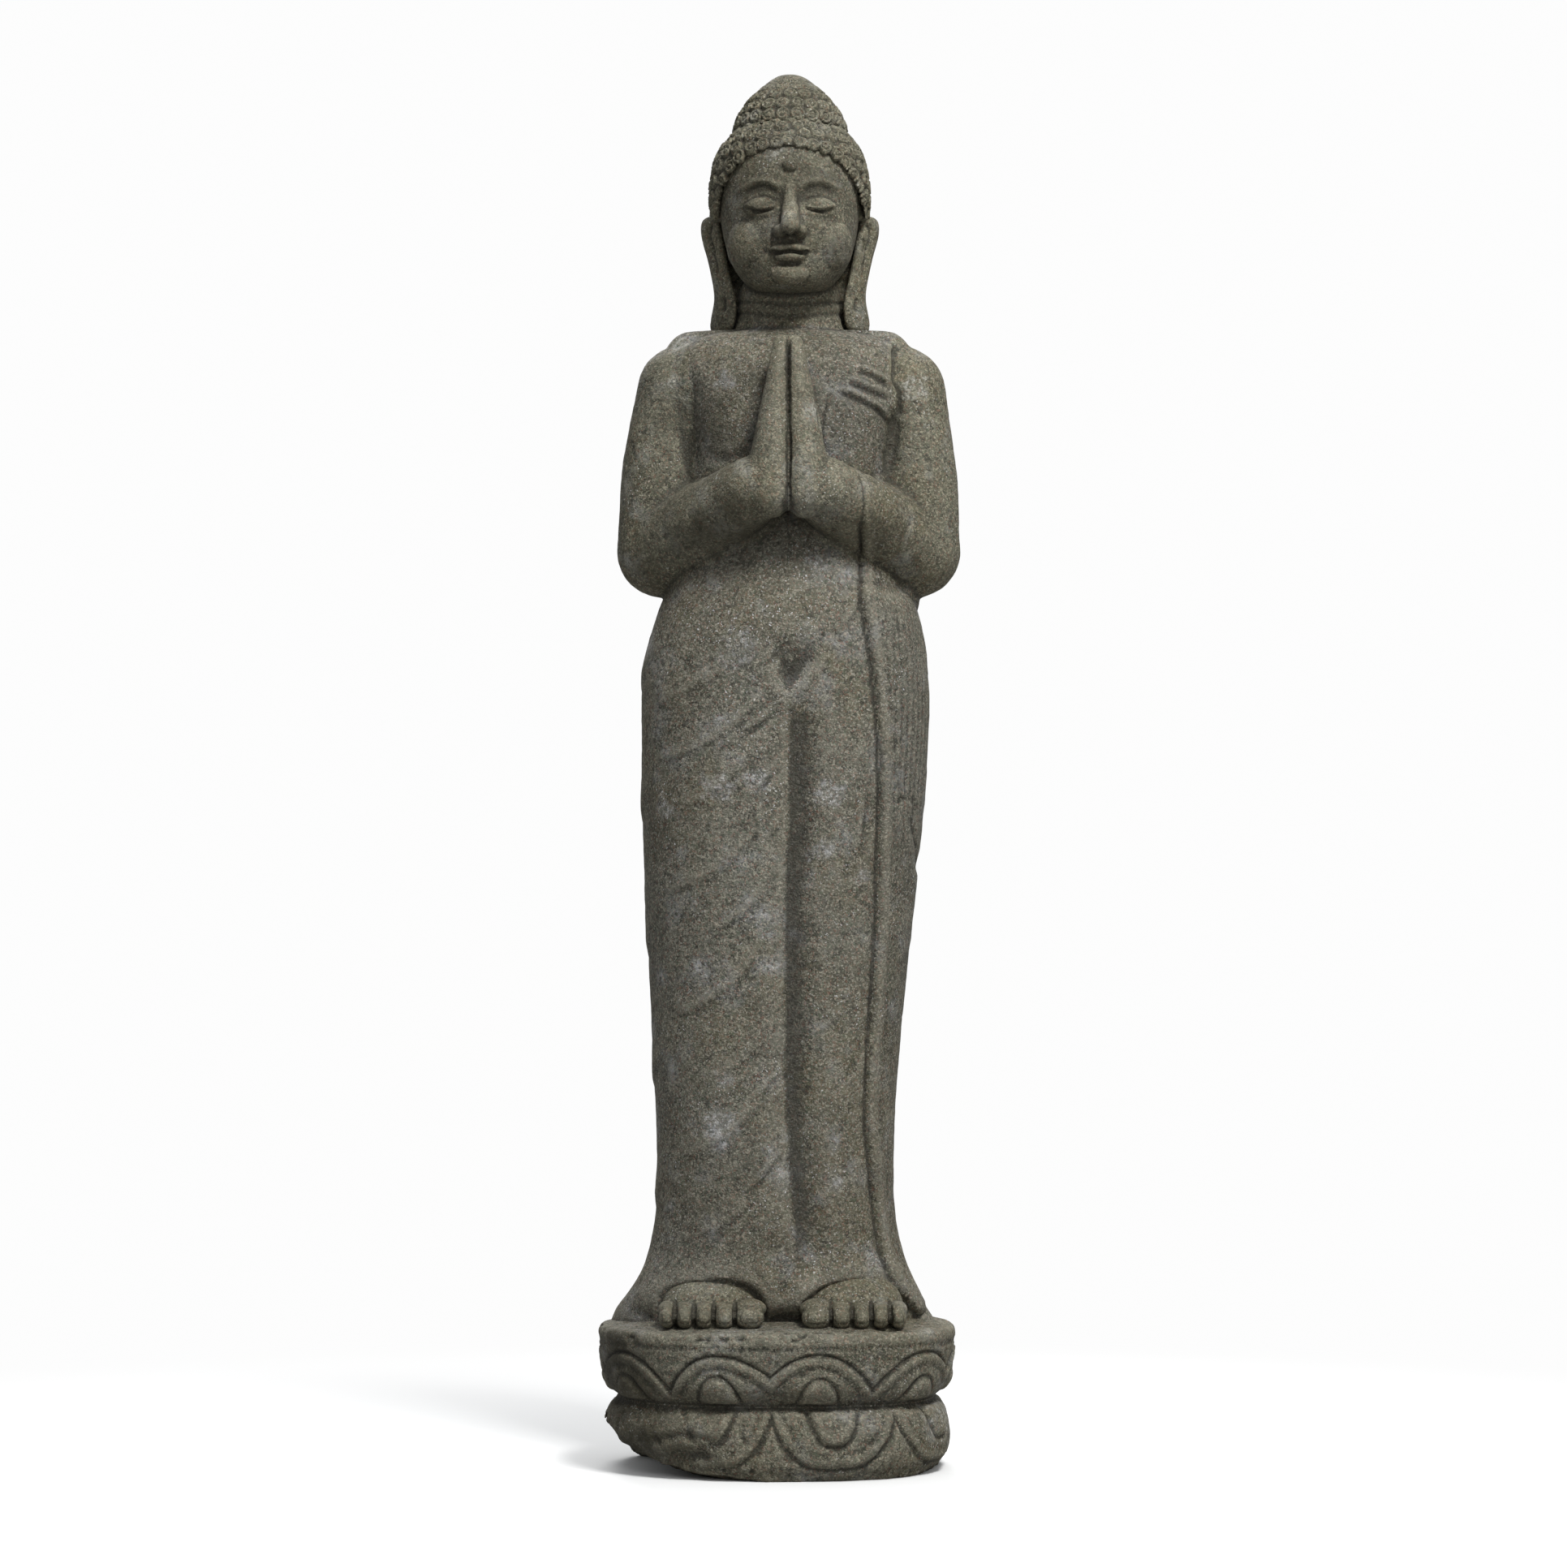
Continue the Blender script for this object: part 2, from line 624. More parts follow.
finished = []
creaseAngle = 50


def deliver(piece, node, slotName):
    # names, smooths, paints and hands over one stone
    dropFlakes(piece)
    only(piece)
    piece.name = node + "_carved"
    piece.data.name = piece.name
    bpy.ops.object.shade_smooth_by_angle(angle=math.radians(creaseAngle))
    for label in ("hollow", "edge"):
        if label not in piece.data.attributes:
            piece.data.attributes.new(label, "FLOAT", "POINT")
    paint(piece)
    piece.data.materials.clear()
    piece.data.materials.append(finishes[slotName])
    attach(piece, "root")
    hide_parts(node)
    finished.append(piece)
    print(piece.name, len(piece.data.polygons), "faces")


# --- the camera, the lights and the floor

view = {"place": (0.007, -3.9, 0.45), "tiltUp": 4.025, "lens": 83.45}
bpy.ops.object.camera_add(location=view["place"], rotation=(math.radians(90 + view["tiltUp"]), 0, 0))
bpy.context.object.data.lens = view["lens"]
bpy.context.scene.camera = bpy.context.object
bpy.context.scene.view_settings.view_transform = "Standard"

lamps = {  # place, size in metres, watts, what it faces
    "key": ((1.2, -2.3, 4.0), 1.1, 190, (0, 0, 0.8)),
    "front": ((1.2, -4.2, 1.4), 1.4, 30, (0, 0, 0.60)),
    "back": ((-0.5, 3.4, 3.2), 2.0, 90, (0, 0, 0.8)),
}
for name, (place, size, watts, aim) in lamps.items():
    bpy.ops.object.light_add(type="AREA", location=place)
    lamp = bpy.context.object
    lamp.name = name
    lamp.data.size = size
    lamp.data.energy = watts
    x, y, z = np.array(aim, float) - place
    lamp.rotation_euler = (math.acos(-z / np.linalg.norm((x, y, z))), 0, math.atan2(y, x) - math.pi / 2)

studio = {
    "skyTint": (0.95, 0.97, 1.0, 1),
    "skyRise": {"From Min": -0.1, "From Max": 0.9, "To Min": 0.10, "To Max": 0.75},  # ray height to strength
    "paleWall": (0.98, 0.98, 0.98, 1),
    "floorSize": 14.0,
    "floorTones": {"A": (0.86, 0.86, 0.85, 1), "B": (0.90, 0.90, 0.89, 1)},
    "floorPatches": 3,
    "floorRough": 0.7,
    "paleFrom": {"From Min": 0.35, "From Max": 1.60},  # metres from the figure
    "thrownTone": (0.30, 0.30, 0.29, 1),
}
# the soft light grows from the horizon upwards, and a pale wall is seen behind the figure
world = bpy.data.worlds.new("studio")
bpy.context.scene.world = world
world.use_nodes = True
skyTree = world.node_tree
sky = skyTree.nodes["Background"]
sky.inputs["Color"].default_value = studio["skyTint"]
rayWay = addNode(skyTree, "SeparateXYZ", {"Vector": addNode(skyTree, "TexCoord")["Generated"]})
rise = addNode(skyTree, "MapRange", {"Value": rayWay["Z"], **studio["skyRise"]})["Result"]
skyTree.links.new(rise, sky.inputs["Strength"])
wall = addNode(skyTree, "Background", {"Color": studio["paleWall"]})["Background"]
seenRay = addNode(skyTree, "LightPath")["Is Camera Ray"]
seenSky = addNode(skyTree, "MixShader", {"Fac": seenRay, 1: sky.outputs["Background"], 2: wall})["Shader"]
skyTree.links.new(seenSky, skyTree.nodes["World Output"].inputs["Surface"])

bpy.ops.mesh.primitive_plane_add(size=studio["floorSize"], location=(0, 0, 0))
floor = bpy.context.object
floor.name = "studioFloor"
floorPaint = bpy.data.materials.new("paleFloor")
floorPaint.use_nodes = True
floorTree = floorPaint.node_tree
floorShader = floorTree.nodes["Principled BSDF"]
floorShader.inputs["Roughness"].default_value = studio["floorRough"]
patches = addNode(floorTree, "TexNoise", {"Scale": studio["floorPatches"]})["Fac"]
seenTone = addNode(floorTree, "Mix", {"Factor": patches, **studio["floorTones"]}, data_type="RGBA")["Result"]
# it throws little light back up
seenRay = addNode(floorTree, "LightPath")["Is Camera Ray"]
floorTone = addNode(floorTree, "Mix", {"Factor": seenRay, "A": studio["thrownTone"], "B": seenTone},
                    data_type="RGBA")["Result"]
floorTree.links.new(floorTone, floorShader.inputs["Base Color"])
# away from the figure it turns as pale as the wall
away = addNode(floorTree, "VectorMath", {0: addNode(floorTree, "TexCoord")["Object"]}, operation="LENGTH")["Value"]
paleShare = addNode(floorTree, "MapRange", {"Value": away, **studio["paleFrom"]},
                    interpolation_type="SMOOTHSTEP")["Result"]
seenPale = addNode(floorTree, "Math", {0: paleShare, 1: seenRay}, operation="MULTIPLY")["Value"]
paleGlow = addNode(floorTree, "Emission", {"Color": studio["paleWall"]})["Emission"]
floorBlend = addNode(floorTree, "MixShader", {"Fac": seenPale, 1: floorShader.outputs["BSDF"], 2: paleGlow})["Shader"]
floorTree.links.new(floorBlend, floorTree.nodes["Material Output"].inputs["Surface"])
floor.data.materials.append(floorPaint)
print("camera, lights and floor stand")


# --- the lotus base

lotus = {
    "rows": [(-0.010, 0, 0, 0.172, 0.156), (0.004, 0, 0, 0.176, 0.159), (0.028, 0, 0, 0.183, 0.164),
             (0.050, 0, 0, 0.182, 0.163), (0.066, 0, 0, 0.176, 0.158), (0.0735, 0, 0, 0.166, 0.149),
             (0.0765, 0, 0, 0.166, 0.149), (0.085, 0, 0, 0.178, 0.160), (0.102, 0, 0, 0.186, 0.166),
             (0.125, 0, 0, 0.187, 0.167), (0.140, 0, 0, 0.190, 0.170), (0.1480, 0, 0, 0.189, 0.169),
             (0.1510, 0, 0, 0.182, 0.162), (0.1535, 0, 0, 0.160, 0.140), (0.1580, 0, 0, 0.130, 0.110),
             (0.1600, 0, 0, 0.090, 0.080)],  # the ledge rises a little towards the feet
    "squareness": 2.5,
    "softness": 0.0035,
    "spare": 0.004,  # stone left beyond the joint until the carving is done
    "grain": 0.0021,
    "upper": {"petals": 10, "half": 0.056, "archZ": 0.1285, "rises": (0.0225, 0.0370), "archPower": 2.1,
              "curlZ": 0.106, "curlHalf": 0.46, "curlRise": 0.028, "curlPower": 2.4},
    "lower": {"petals": 8, "half": 0.070, "archZ": 0.012, "rise": 0.050, "archPower": 3.2,
              "curlZ": 0.036, "curlHalf": 0.42, "curlRise": 0.038, "curlPower": 3},
    "turn": -2.0,  # degrees that the joint at the front is turned
    "brokenUnder": [(-0.180, 0.056), (-0.168, 0.043), (-0.144, 0.024), (-0.118, 0.0145), (-0.078, 0.0075),
                    (-0.01, 0.0)],
    "scars": [([(-0.150, 0.052), (-0.128, 0.040), (-0.098, 0.047), (-0.066, 0.041), (-0.036, 0.042)],
               0.0045, -0.0050),
              ([(-0.120, 0.030), (-0.090, 0.024), (-0.060, 0.030)], 0.0070, -0.0045),
              ([(0.050, 0.030), (0.085, 0.036), (0.120, 0.050)], 0.0050, -0.0026),
              ([(-0.032, 0.066), (-0.034, 0.050), (-0.030, 0.036)], 0.0030, -0.0026)],  # line, width, depth
}


def petalPlaces(at, count, seed):
    # for each point: its petal's number, and -1 to 1 across that petal
    angle = np.degrees(np.arctan2(at[:, 1], at[:, 0])) + 90 - lotus["turn"]
    turns = (angle / (360 / count)) % count
    number = np.floor(turns).astype(int) % count
    across = (turns - np.floor(turns)) * 2 - 1
    luck = np.random.default_rng(seed).uniform(-1, 1, (count, 4))
    return number, across, luck[number]


def underArch(z, across, top, drop, power, half):
    # how far each point lies under the arch over its petal, measured square to the arch
    slope = drop * power * np.abs(across) ** (power - 1) / half
    return (top - drop * np.abs(across) ** power - z) / np.sqrt(1 + slope**2)


def lotusClay():
    lump = stacked("lotusBlock", lotus["rows"], lotus["squareness"], 64)
    return clayOf("lotusClay", [lump], lotus["grain"], lotus["softness"])


def carveUpperLotus():
    lump = lotusClay()
    cutBlock(lump, (-0.4, -0.4, -0.1), (0.4, 0.4, grooveZ - lotus["spare"]))
    clay = clayState(lump)
    at, out = clay["at"], clay["out"]
    petal = lotus["upper"]
    number, across, luck = petalPlaces(at, petal["petals"], 5)
    across = across + 0.10 * luck[:, 0] * (1 - across**2)
    z = at[:, 2]
    joint = number + (across > 0)  # the joints sit high and low by turns
    rise = np.where(joint % 2 == 0, *petal["rises"])
    below = underArch(z, across, petal["archZ"] + 0.0015 * luck[:, 2], rise, petal["archPower"], petal["half"])
    onFace = smoothStep(np.hypot(out[:, 0], out[:, 1]), 0.5, 0.8) * smoothStep(z, 0.077, 0.084)
    height = -0.0034 * bump(below, 0, 0.0024)
    height += 0.0026 * between(below, 0.0, 0.004, 0.006, 0.014)
    height += 0.0024 * smoothStep(below, 0.010, 0.024) * (1 - across**2)
    belowCurl = underArch(z, across / petal["curlHalf"], petal["curlZ"] + 0.002 * luck[:, 3], petal["curlRise"],
                          petal["curlPower"], petal["half"] * petal["curlHalf"])
    oneSided = 0.60 + 0.55 * smoothStep(across * np.sign(luck[:, 0]), -0.3, 0.3)
    height -= 0.0028 * bump(belowCurl, 0, 0.0023) * oneSided
    height += 0.0040 * smoothStep(belowCurl, 0.0, 0.009)
    height -= 0.0012 * between(z, 0.131, 0.134, 0.136, 0.140)
    worn = 0.75 + 0.35 * grainNoise(at, 0.05, 41)
    at += out * (height * onFace * worn)[:, None]
    refresh(lump, clay)
    # chips along the rim and an uneven ledge
    chips = smoothStep(grainNoise(at, 0.021, 42) * 0.6 + grainNoise(at, 0.009, 43) * 0.4, 0.12, 0.5)
    rim = smoothStep(z, 0.134, 0.146) * smoothStep(np.hypot(at[:, 0] / 0.19, at[:, 1] / 0.17), 0.90, 0.97)
    at -= out * (0.0045 * chips * rim)[:, None]
    weatherAndRub(lump, clay, 1.2)
    cutBlock(lump, (-0.4, -0.4, -0.1), (0.4, 0.4, grooveZ))
    deliver(lump, "upper_lotus", "base_stone")
    return lump


def carveLowerLotus():
    lump = lotusClay()
    cutBlock(lump, (-0.4, -0.4, grooveZ + lotus["spare"]), (0.4, 0.4, 0.3))
    clay = clayState(lump)
    at, out = clay["at"], clay["out"]
    petal = lotus["lower"]
    _, across, luck = petalPlaces(at, petal["petals"], 7)
    z = at[:, 2].copy()
    above = -underArch(z, across, petal["archZ"], -petal["rise"], petal["archPower"], petal["half"])
    onFace = smoothStep(np.hypot(out[:, 0], out[:, 1]), 0.5, 0.8) * smoothStep(0.073 - z, 0, 0.007)
    height = -0.0032 * bump(above, 0, 0.0030)
    height += 0.0024 * between(above, 0.0, 0.006, 0.009, 0.017)
    height += 0.0024 * smoothStep(above, 0.010, 0.024)
    aboveCurl = -underArch(z, across / petal["curlHalf"], petal["curlZ"] + 0.002 * luck[:, 3], -petal["curlRise"],
                           petal["curlPower"], petal["half"] * petal["curlHalf"])
    height -= 0.0032 * bump(aboveCurl, 0, 0.0028)
    height += 0.0036 * smoothStep(aboveCurl, 0.0, 0.008)
    # a small leaf in the joint between two petals
    joint = 1 - np.abs(across)
    leaf = 0.058 - joint / 0.40 * 0.062
    height += 0.0022 * smoothStep(leaf - z, 0.002, 0.006)
    height -= 0.0012 * bump(joint, 0, 0.012) * (z < 0.055)
    erosion = smoothStep(-at[:, 0], -0.02, 0.10) * smoothStep(-at[:, 1], 0.0, 0.10)
    worn = (0.66 + 0.42 * grainNoise(at, 0.040, 51)) * (1 - 0.70 * erosion)
    at += out * (height * onFace * worn)[:, None]
    refresh(lump, clay)
    # the broken lower edge, worst at the figure's front right corner
    rag = 0.5 + 0.5 * grainNoise(at, 0.034, 52)
    fineRag = grainNoise(at, 0.011, 53)
    degrees = (np.degrees(np.arctan2(at[:, 1], at[:, 0])) + 360) % 360
    corner = bump(degrees, 200, 34)
    lost = (0.001 + 0.009 * rag + 0.003 * fineRag) * smoothStep(0.016 - z, -0.004, 0.016)
    lost += corner * (0.034 + 0.002 * fineRag) * smoothStep(0.052 - z, 0, 0.052) ** 1.2
    lost += 0.0025 * erosion * smoothStep(grainNoise(at, 0.026, 54), -0.1, 0.5) * smoothStep(0.060 - z, 0, 0.02)
    flat = np.hypot(at[:, 0], at[:, 1])
    nearSide = smoothStep(np.hypot(at[:, 0] / 0.185, at[:, 1] / 0.165), 0.55, 0.95)
    at[:, :2] *= (1 - lost * nearSide / np.maximum(flat, 0.05))[:, None]
    refresh(lump, clay)
    # the underside is broken away there too
    across, rise = np.array(lotus["brokenUnder"]).T
    floorUnder = np.interp(at[:, 0], across, rise) * (1 - smoothStep(at[:, 1], 0.02, 0.09))
    floorUnder *= 1 + 0.10 * fineRag
    at[:, 2] = np.where(z > 0.001, np.maximum(at[:, 2], floorUnder), at[:, 2] + floorUnder)
    refresh(lump, clay)
    for line, width, depth in lotus["scars"]:
        mark(clay, line, width * 1.3, depth * 0.7, fade=0.3)
    weatherAndRub(lump, clay, 1.3)
    cutBlock(lump, (-0.4, -0.4, grooveZ), (0.4, 0.4, 0.3))
    cutBlock(lump, (-0.4, -0.4, -0.2), (0.4, 0.4, 0))
    deliver(lump, "lower_lotus", "base_stone")


ledge = carveUpperLotus()
carveLowerLotus()
print("the lotus base is carved")


# --- the standing figure: robe, chest, arms and pressed hands

figure = {
    "robe": [(0.135, -0.006, 0.028, 0.178, 0.126), (0.150, -0.006, 0.026, 0.172, 0.122),
             (0.166, -0.010, 0.018, 0.163, 0.117),
             (0.190, -0.004, 0.009, 0.146, 0.111), (0.235, -0.004, 0.003, 0.129, 0.104),
             (0.290, -0.004, 0.002, 0.123, 0.098), (0.380, -0.0045, 0.002, 0.1255, 0.097),
             (0.500, -0.002, 0.002, 0.1340, 0.100), (0.620, 0.0025, 0.002, 0.1455, 0.104),
             (0.740, 0.0055, 0.002, 0.1515, 0.107), (0.810, 0.0065, 0.000, 0.1545, 0.107),
             (0.860, 0.0065, 0.000, 0.1515, 0.107), (0.905, 0.0095, 0.000, 0.1410, 0.104),
             (0.950, 0.011, 0.000, 0.122, 0.097), (0.995, 0.012, 0.000, 0.108, 0.092),
             (1.030, 0.012, 0.000, 0.108, 0.092)],
    "chest": [(0.960, 0.012, 0, 0.110, 0.092), (0.995, 0.012, 0, 0.108, 0.092), (1.050, 0.012, 0, 0.114, 0.092),
              (1.110, 0.012, 0, 0.128, 0.095), (1.155, 0.012, 0.004, 0.140, 0.090),
              (1.187, 0.012, 0.008, 0.136, 0.078), (1.204, 0.012, 0.012, 0.116, 0.064),
              (1.216, 0.012, 0.014, 0.082, 0.054)],
    "neck": [(1.186, 0.013, 0.014, 0.078, 0.058), (1.206, 0.013, 0.014, 0.067, 0.053),
             (1.222, 0.013, 0.014, 0.059, 0.050), (1.240, 0.013, 0.014, 0.055, 0.049),
             (1.290, 0.014, 0.012, 0.056, 0.050)],
    "shoulder": ((-0.115, 0.006, 1.152), 0.049),
    "upperArm": ((-0.130, 0.004, 1.068), 0.049),
    "elbow": ((-0.136, 0.000, 0.976), 0.049),
    "wrist": ((-0.036, -0.116, 1.026), 0.036),
    "palmHeel": ((-0.019, -0.128, 1.022), 0.029),
    "palm": ((-0.0135, -0.127, 1.086), 0.0215),
    "fingerTip": ((-0.0070, -0.105, 1.184), 0.0095),
    "leftOut": {"shoulder": 0.006, "upperArm": 0.003, "elbow": 0.001},  # the left arm stands out a little more
    "fillings": [  # solid stone behind the forearm and the fingers, and the slope of the shoulder
        ((0.100, -0.030, 1.000), (0.030, -0.064, 1.030), 0.044, 0.040),
        ((0.014, -0.096, 1.050), (0.006, -0.088, 1.170), 0.022, 0.010),
        ((0.040, 0.014, 1.198), (0.102, 0.010, 1.186), 0.034, 0.033)],
    "elbowCloth": ((figureX + 0.110, 0.010, 0.938), (0.032, 0.050, 0.038)),  # under the left elbow
    "nape": ((headX, 0.036, 1.232), (0.077, 0.036, 0.060)),
    "waistZ": 0.995,
    "neckZ": 1.216,
    "underArmsZ": 0.88,
    "handSwell": 0.006,  # how much thicker than its bones a hand is cut out, and an arm
    "armSwell": 0.009,
    "shawl": {"thick": 0.006, "topZ": 0.94, "outerX": 0.30, "frontY": -0.20, "deep": 0.300},
    "upperGrain": 0.0018,
    "lowerGrain": 0.0032,
    "softness": 0.0095,
}
armBones = ("shoulder", "upperArm", "elbow", "wrist")
handBones = ("palmHeel", "palm", "fingerTip")


def boneLimbs(names, side, swell=0.0):
    limbs = []
    for a, b in zip(names, names[1:]):
        (start, startRadius), (end, endRadius) = figure[a], figure[b]
        # the values are those of the right arm
        start = np.array((figureX - side * start[0], *start[1:]))
        end = np.array((figureX - side * end[0], *end[1:]))
        if side > 0:
            start[0] += figure["leftOut"].get(a, 0)
            end[0] += figure["leftOut"].get(b, 0)
        limbs.append(limb(start, end, startRadius + swell, endRadius + swell))
    return limbs


def figureForms():
    forms = [stacked("robeForm", figure["robe"]), stacked("chestForm", figure["chest"]),
             stacked("neckForm", figure["neck"])]
    for side in (-1, 1):
        forms += boneLimbs(armBones, side)
        forms += boneLimbs(handBones, side)
        for (startX, *start), (endX, *end), startRadius, endRadius in figure["fillings"]:
            forms.append(limb((figureX + side * startX, *start), (figureX + side * endX, *end), startRadius, endRadius))
    forms.append(egg(*figure["elbowCloth"]))
    forms.append(egg(*figure["nape"]))
    return forms


robeMarks = {
    "belly": ((0.010, -0.100, 0.900), (0.090, 0.070, 0.075), 0.0090),  # place, half sizes, lift
    "legs": ((-0.062, 0.0095), (0.072, 0.0080)),  # x, lift
    "legWidth": 0.048,
    "legSpan": (0.19, 0.32, 0.72, 0.88),
    "bunch": ((0.030, -0.100, 0.180), (0.014, 0.06, 0.022), 0.0080),  # cloth between the feet
    "valley": [(0.017, 0.826), (0.013, 0.780), (0.013, 0.700), (0.009, 0.600), (0.009, 0.500), (0.009, 0.400),
               (0.014, 0.310), (0.018, 0.250), (0.016, 0.200)],
    "notchTip": (0.0125, 0.819),
    "shawlEdge": [(0.086, 1.000), (0.089, 0.960), (0.090, 0.915), (0.096, 0.875), (0.102, 0.835), (0.107, 0.779),
                  (0.109, 0.711), (0.107, 0.640), (0.105, 0.569), (0.100, 0.484), (0.096, 0.422), (0.094, 0.365),
                  (0.098, 0.323), (0.102, 0.281), (0.108, 0.239), (0.117, 0.208), (0.132, 0.180), (0.150, 0.160)],
    "rightLegFolds": [((-0.118, 0.238), (-0.012, 0.300), 0.0009), ((-0.120, 0.322), (0.004, 0.420), 0.0012),
                      ((-0.090, 0.405), (0.000, 0.470), 0.0008), ((-0.126, 0.470), (0.002, 0.575), 0.0012),
                      ((-0.080, 0.560), (0.004, 0.640), 0.0009), ((-0.132, 0.600), (0.000, 0.700), 0.0011),
                      ((-0.118, 0.690), (-0.010, 0.775), 0.0008), ((-0.134, 0.742), (0.004, 0.836), 0.0012),
                      ((-0.140, 0.806), (-0.030, 0.862), 0.0009)],  # start, end, lift
    "sideFolds": [[(-0.080, 0.330), (-0.020, 0.290), (0.040, 0.262), (0.085, 0.250)],
                  [(-0.085, 0.475), (-0.020, 0.420), (0.040, 0.385), (0.090, 0.365)],
                  [(-0.085, 0.620), (-0.020, 0.560), (0.045, 0.520), (0.095, 0.495)],
                  [(-0.085, 0.760), (-0.010, 0.700), (0.050, 0.660), (0.095, 0.640)],
                  [(-0.070, 0.880), (0.000, 0.830), (0.060, 0.795), (0.095, 0.780)]],  # y, z on the right side
    "shortFolds": [[(-0.021, 0.842), (-0.010, 0.852), (0.002, 0.868)],
                   [(-0.042, 0.772), (-0.020, 0.784), (0.004, 0.803)],
                   [(-0.030, 0.707), (-0.012, 0.724), (0.006, 0.752)],
                   [(-0.014, 0.660), (-0.004, 0.672), (0.006, 0.690)],
                   [(-0.100, 0.816), (-0.088, 0.826), (-0.075, 0.842)],
                   [(-0.040, 0.378), (-0.020, 0.396), (0.004, 0.424)],
                   [(-0.040, 0.290), (-0.016, 0.312), (0.008, 0.342)],
                   [(0.084, 0.640), (0.088, 0.680), (0.092, 0.724)],
                   [(0.062, 0.880), (0.078, 0.900), (0.090, 0.925)]],
    "hemArches": [[(-0.128, 0.156), (-0.120, 0.180), (-0.102, 0.192), (-0.072, 0.199), (-0.045, 0.200), (-0.023, 0.193),
                   (-0.012, 0.176), (-0.009, 0.158)],
                  [(0.023, 0.158), (0.028, 0.180), (0.044, 0.193), (0.074, 0.199), (0.100, 0.195), (0.121, 0.183),
                   (0.134, 0.168), (0.140, 0.154)]],
    "leftLegFolds": [([(0.088, 0.345), (0.080, 0.318), (0.062, 0.298), (0.040, 0.288)], 0.0008),
                     ([(0.094, 0.470), (0.086, 0.430), (0.068, 0.402), (0.046, 0.388)], 0.0011),
                     ([(0.100, 0.580), (0.092, 0.556), (0.080, 0.540), (0.062, 0.528)], 0.0007),
                     ([(0.104, 0.700), (0.096, 0.655), (0.076, 0.622), (0.050, 0.602)], 0.0011),
                     ([(0.100, 0.800), (0.090, 0.765), (0.072, 0.742), (0.050, 0.728)], 0.0008)],  # line, lift
    "hook": [(0.127, 0.700), (0.132, 0.706), (0.140, 0.705), (0.146, 0.697), (0.144, 0.684)],
    "hookTail": [(0.142, 0.690), (0.147, 0.668), (0.151, 0.648), (0.152, 0.622)],
    "pleatGap": 0.0080,
    "pleatLift": 0.00055,
    "shawlLift": 0.0045,
}


def carveRobe(clay):
    marks = robeMarks
    # belly, thighs and shins swell softly under the cloth
    dab(clay, *marks["belly"], facing=(0, -1, 0))
    at, out = clay["at"], clay["out"]
    for legX, lift in marks["legs"]:
        leg = bump(at[:, 0], legX, marks["legWidth"]) * smoothStep(-out[:, 1], -0.1, 0.6)
        leg *= between(at[:, 2], *marks["legSpan"])
        at += out * (lift * leg)[:, None]
    # legs: a soft valley with the edge of the right leg's cloth standing over it
    mark(clay, [(x + 0.012, z) for x, z in marks["valley"]], 0.021, -0.0072, fade=0.20)
    mark(clay, [(x - 0.001, z) for x, z in marks["valley"][::-1]], 0.0040, 0.0026, "edge", reach=0.044, fade=0.16)
    # the folds of the crotch fall into a soft three-cornered dent
    tipX, tipZ = marks["notchTip"]
    rise = at[:, 2] - tipZ
    across = np.abs(at[:, 0] - tipX - 0.16 * rise)
    dent = smoothStep(0.50 * rise + 0.008 - across, -0.008, 0.016) * (1 - smoothStep(rise, -0.006, 0.070))
    dent *= smoothStep(rise, -0.012, 0.012) * smoothStep(-out[:, 1], 0.2, 0.6)
    at -= out * (0.0100 * dent)[:, None]
    dab(clay, *marks["bunch"])
    for (startX, startZ), (endX, endZ), lift in marks["rightLegFolds"]:
        bow = 0.25 * (endZ - startZ)
        line = [(startX, startZ), (0.67 * startX + 0.33 * endX, 0.67 * startZ + 0.33 * endZ - bow * 0.8),
                (0.33 * startX + 0.67 * endX, 0.33 * startZ + 0.67 * endZ - bow), (endX, endZ)]
        mark(clay, line, 0.0030, lift * 1.5, "edge", reach=0.016, fade=0.35, facing=-0.4)
    for line in marks["sideFolds"]:
        mark(clay, line, 0.0060, 0.0022, "edge", view="right", reach=0.030, fade=0.35)
    for line in marks["shortFolds"]:
        mark(clay, line, 0.0030, 0.0013, fade=0.45)
        mark(clay, [(x + 0.003, z - 0.004) for x, z in line], 0.0030, -0.0010, fade=0.45)
    for line, lift in marks["leftLegFolds"]:
        mark(clay, line, 0.0045, lift, "edge", reach=0.020, fade=0.4)
    for line in marks["hemArches"]:
        mark(clay, line, 0.0028, 0.0075, "edge", reach=0.030, fade=0.12)


def shawlFront(z):
    line = smoothLine(robeMarks["shawlEdge"])
    order = np.argsort(line[:, 1])
    return np.interp(z, line[order, 1], line[order, 0])


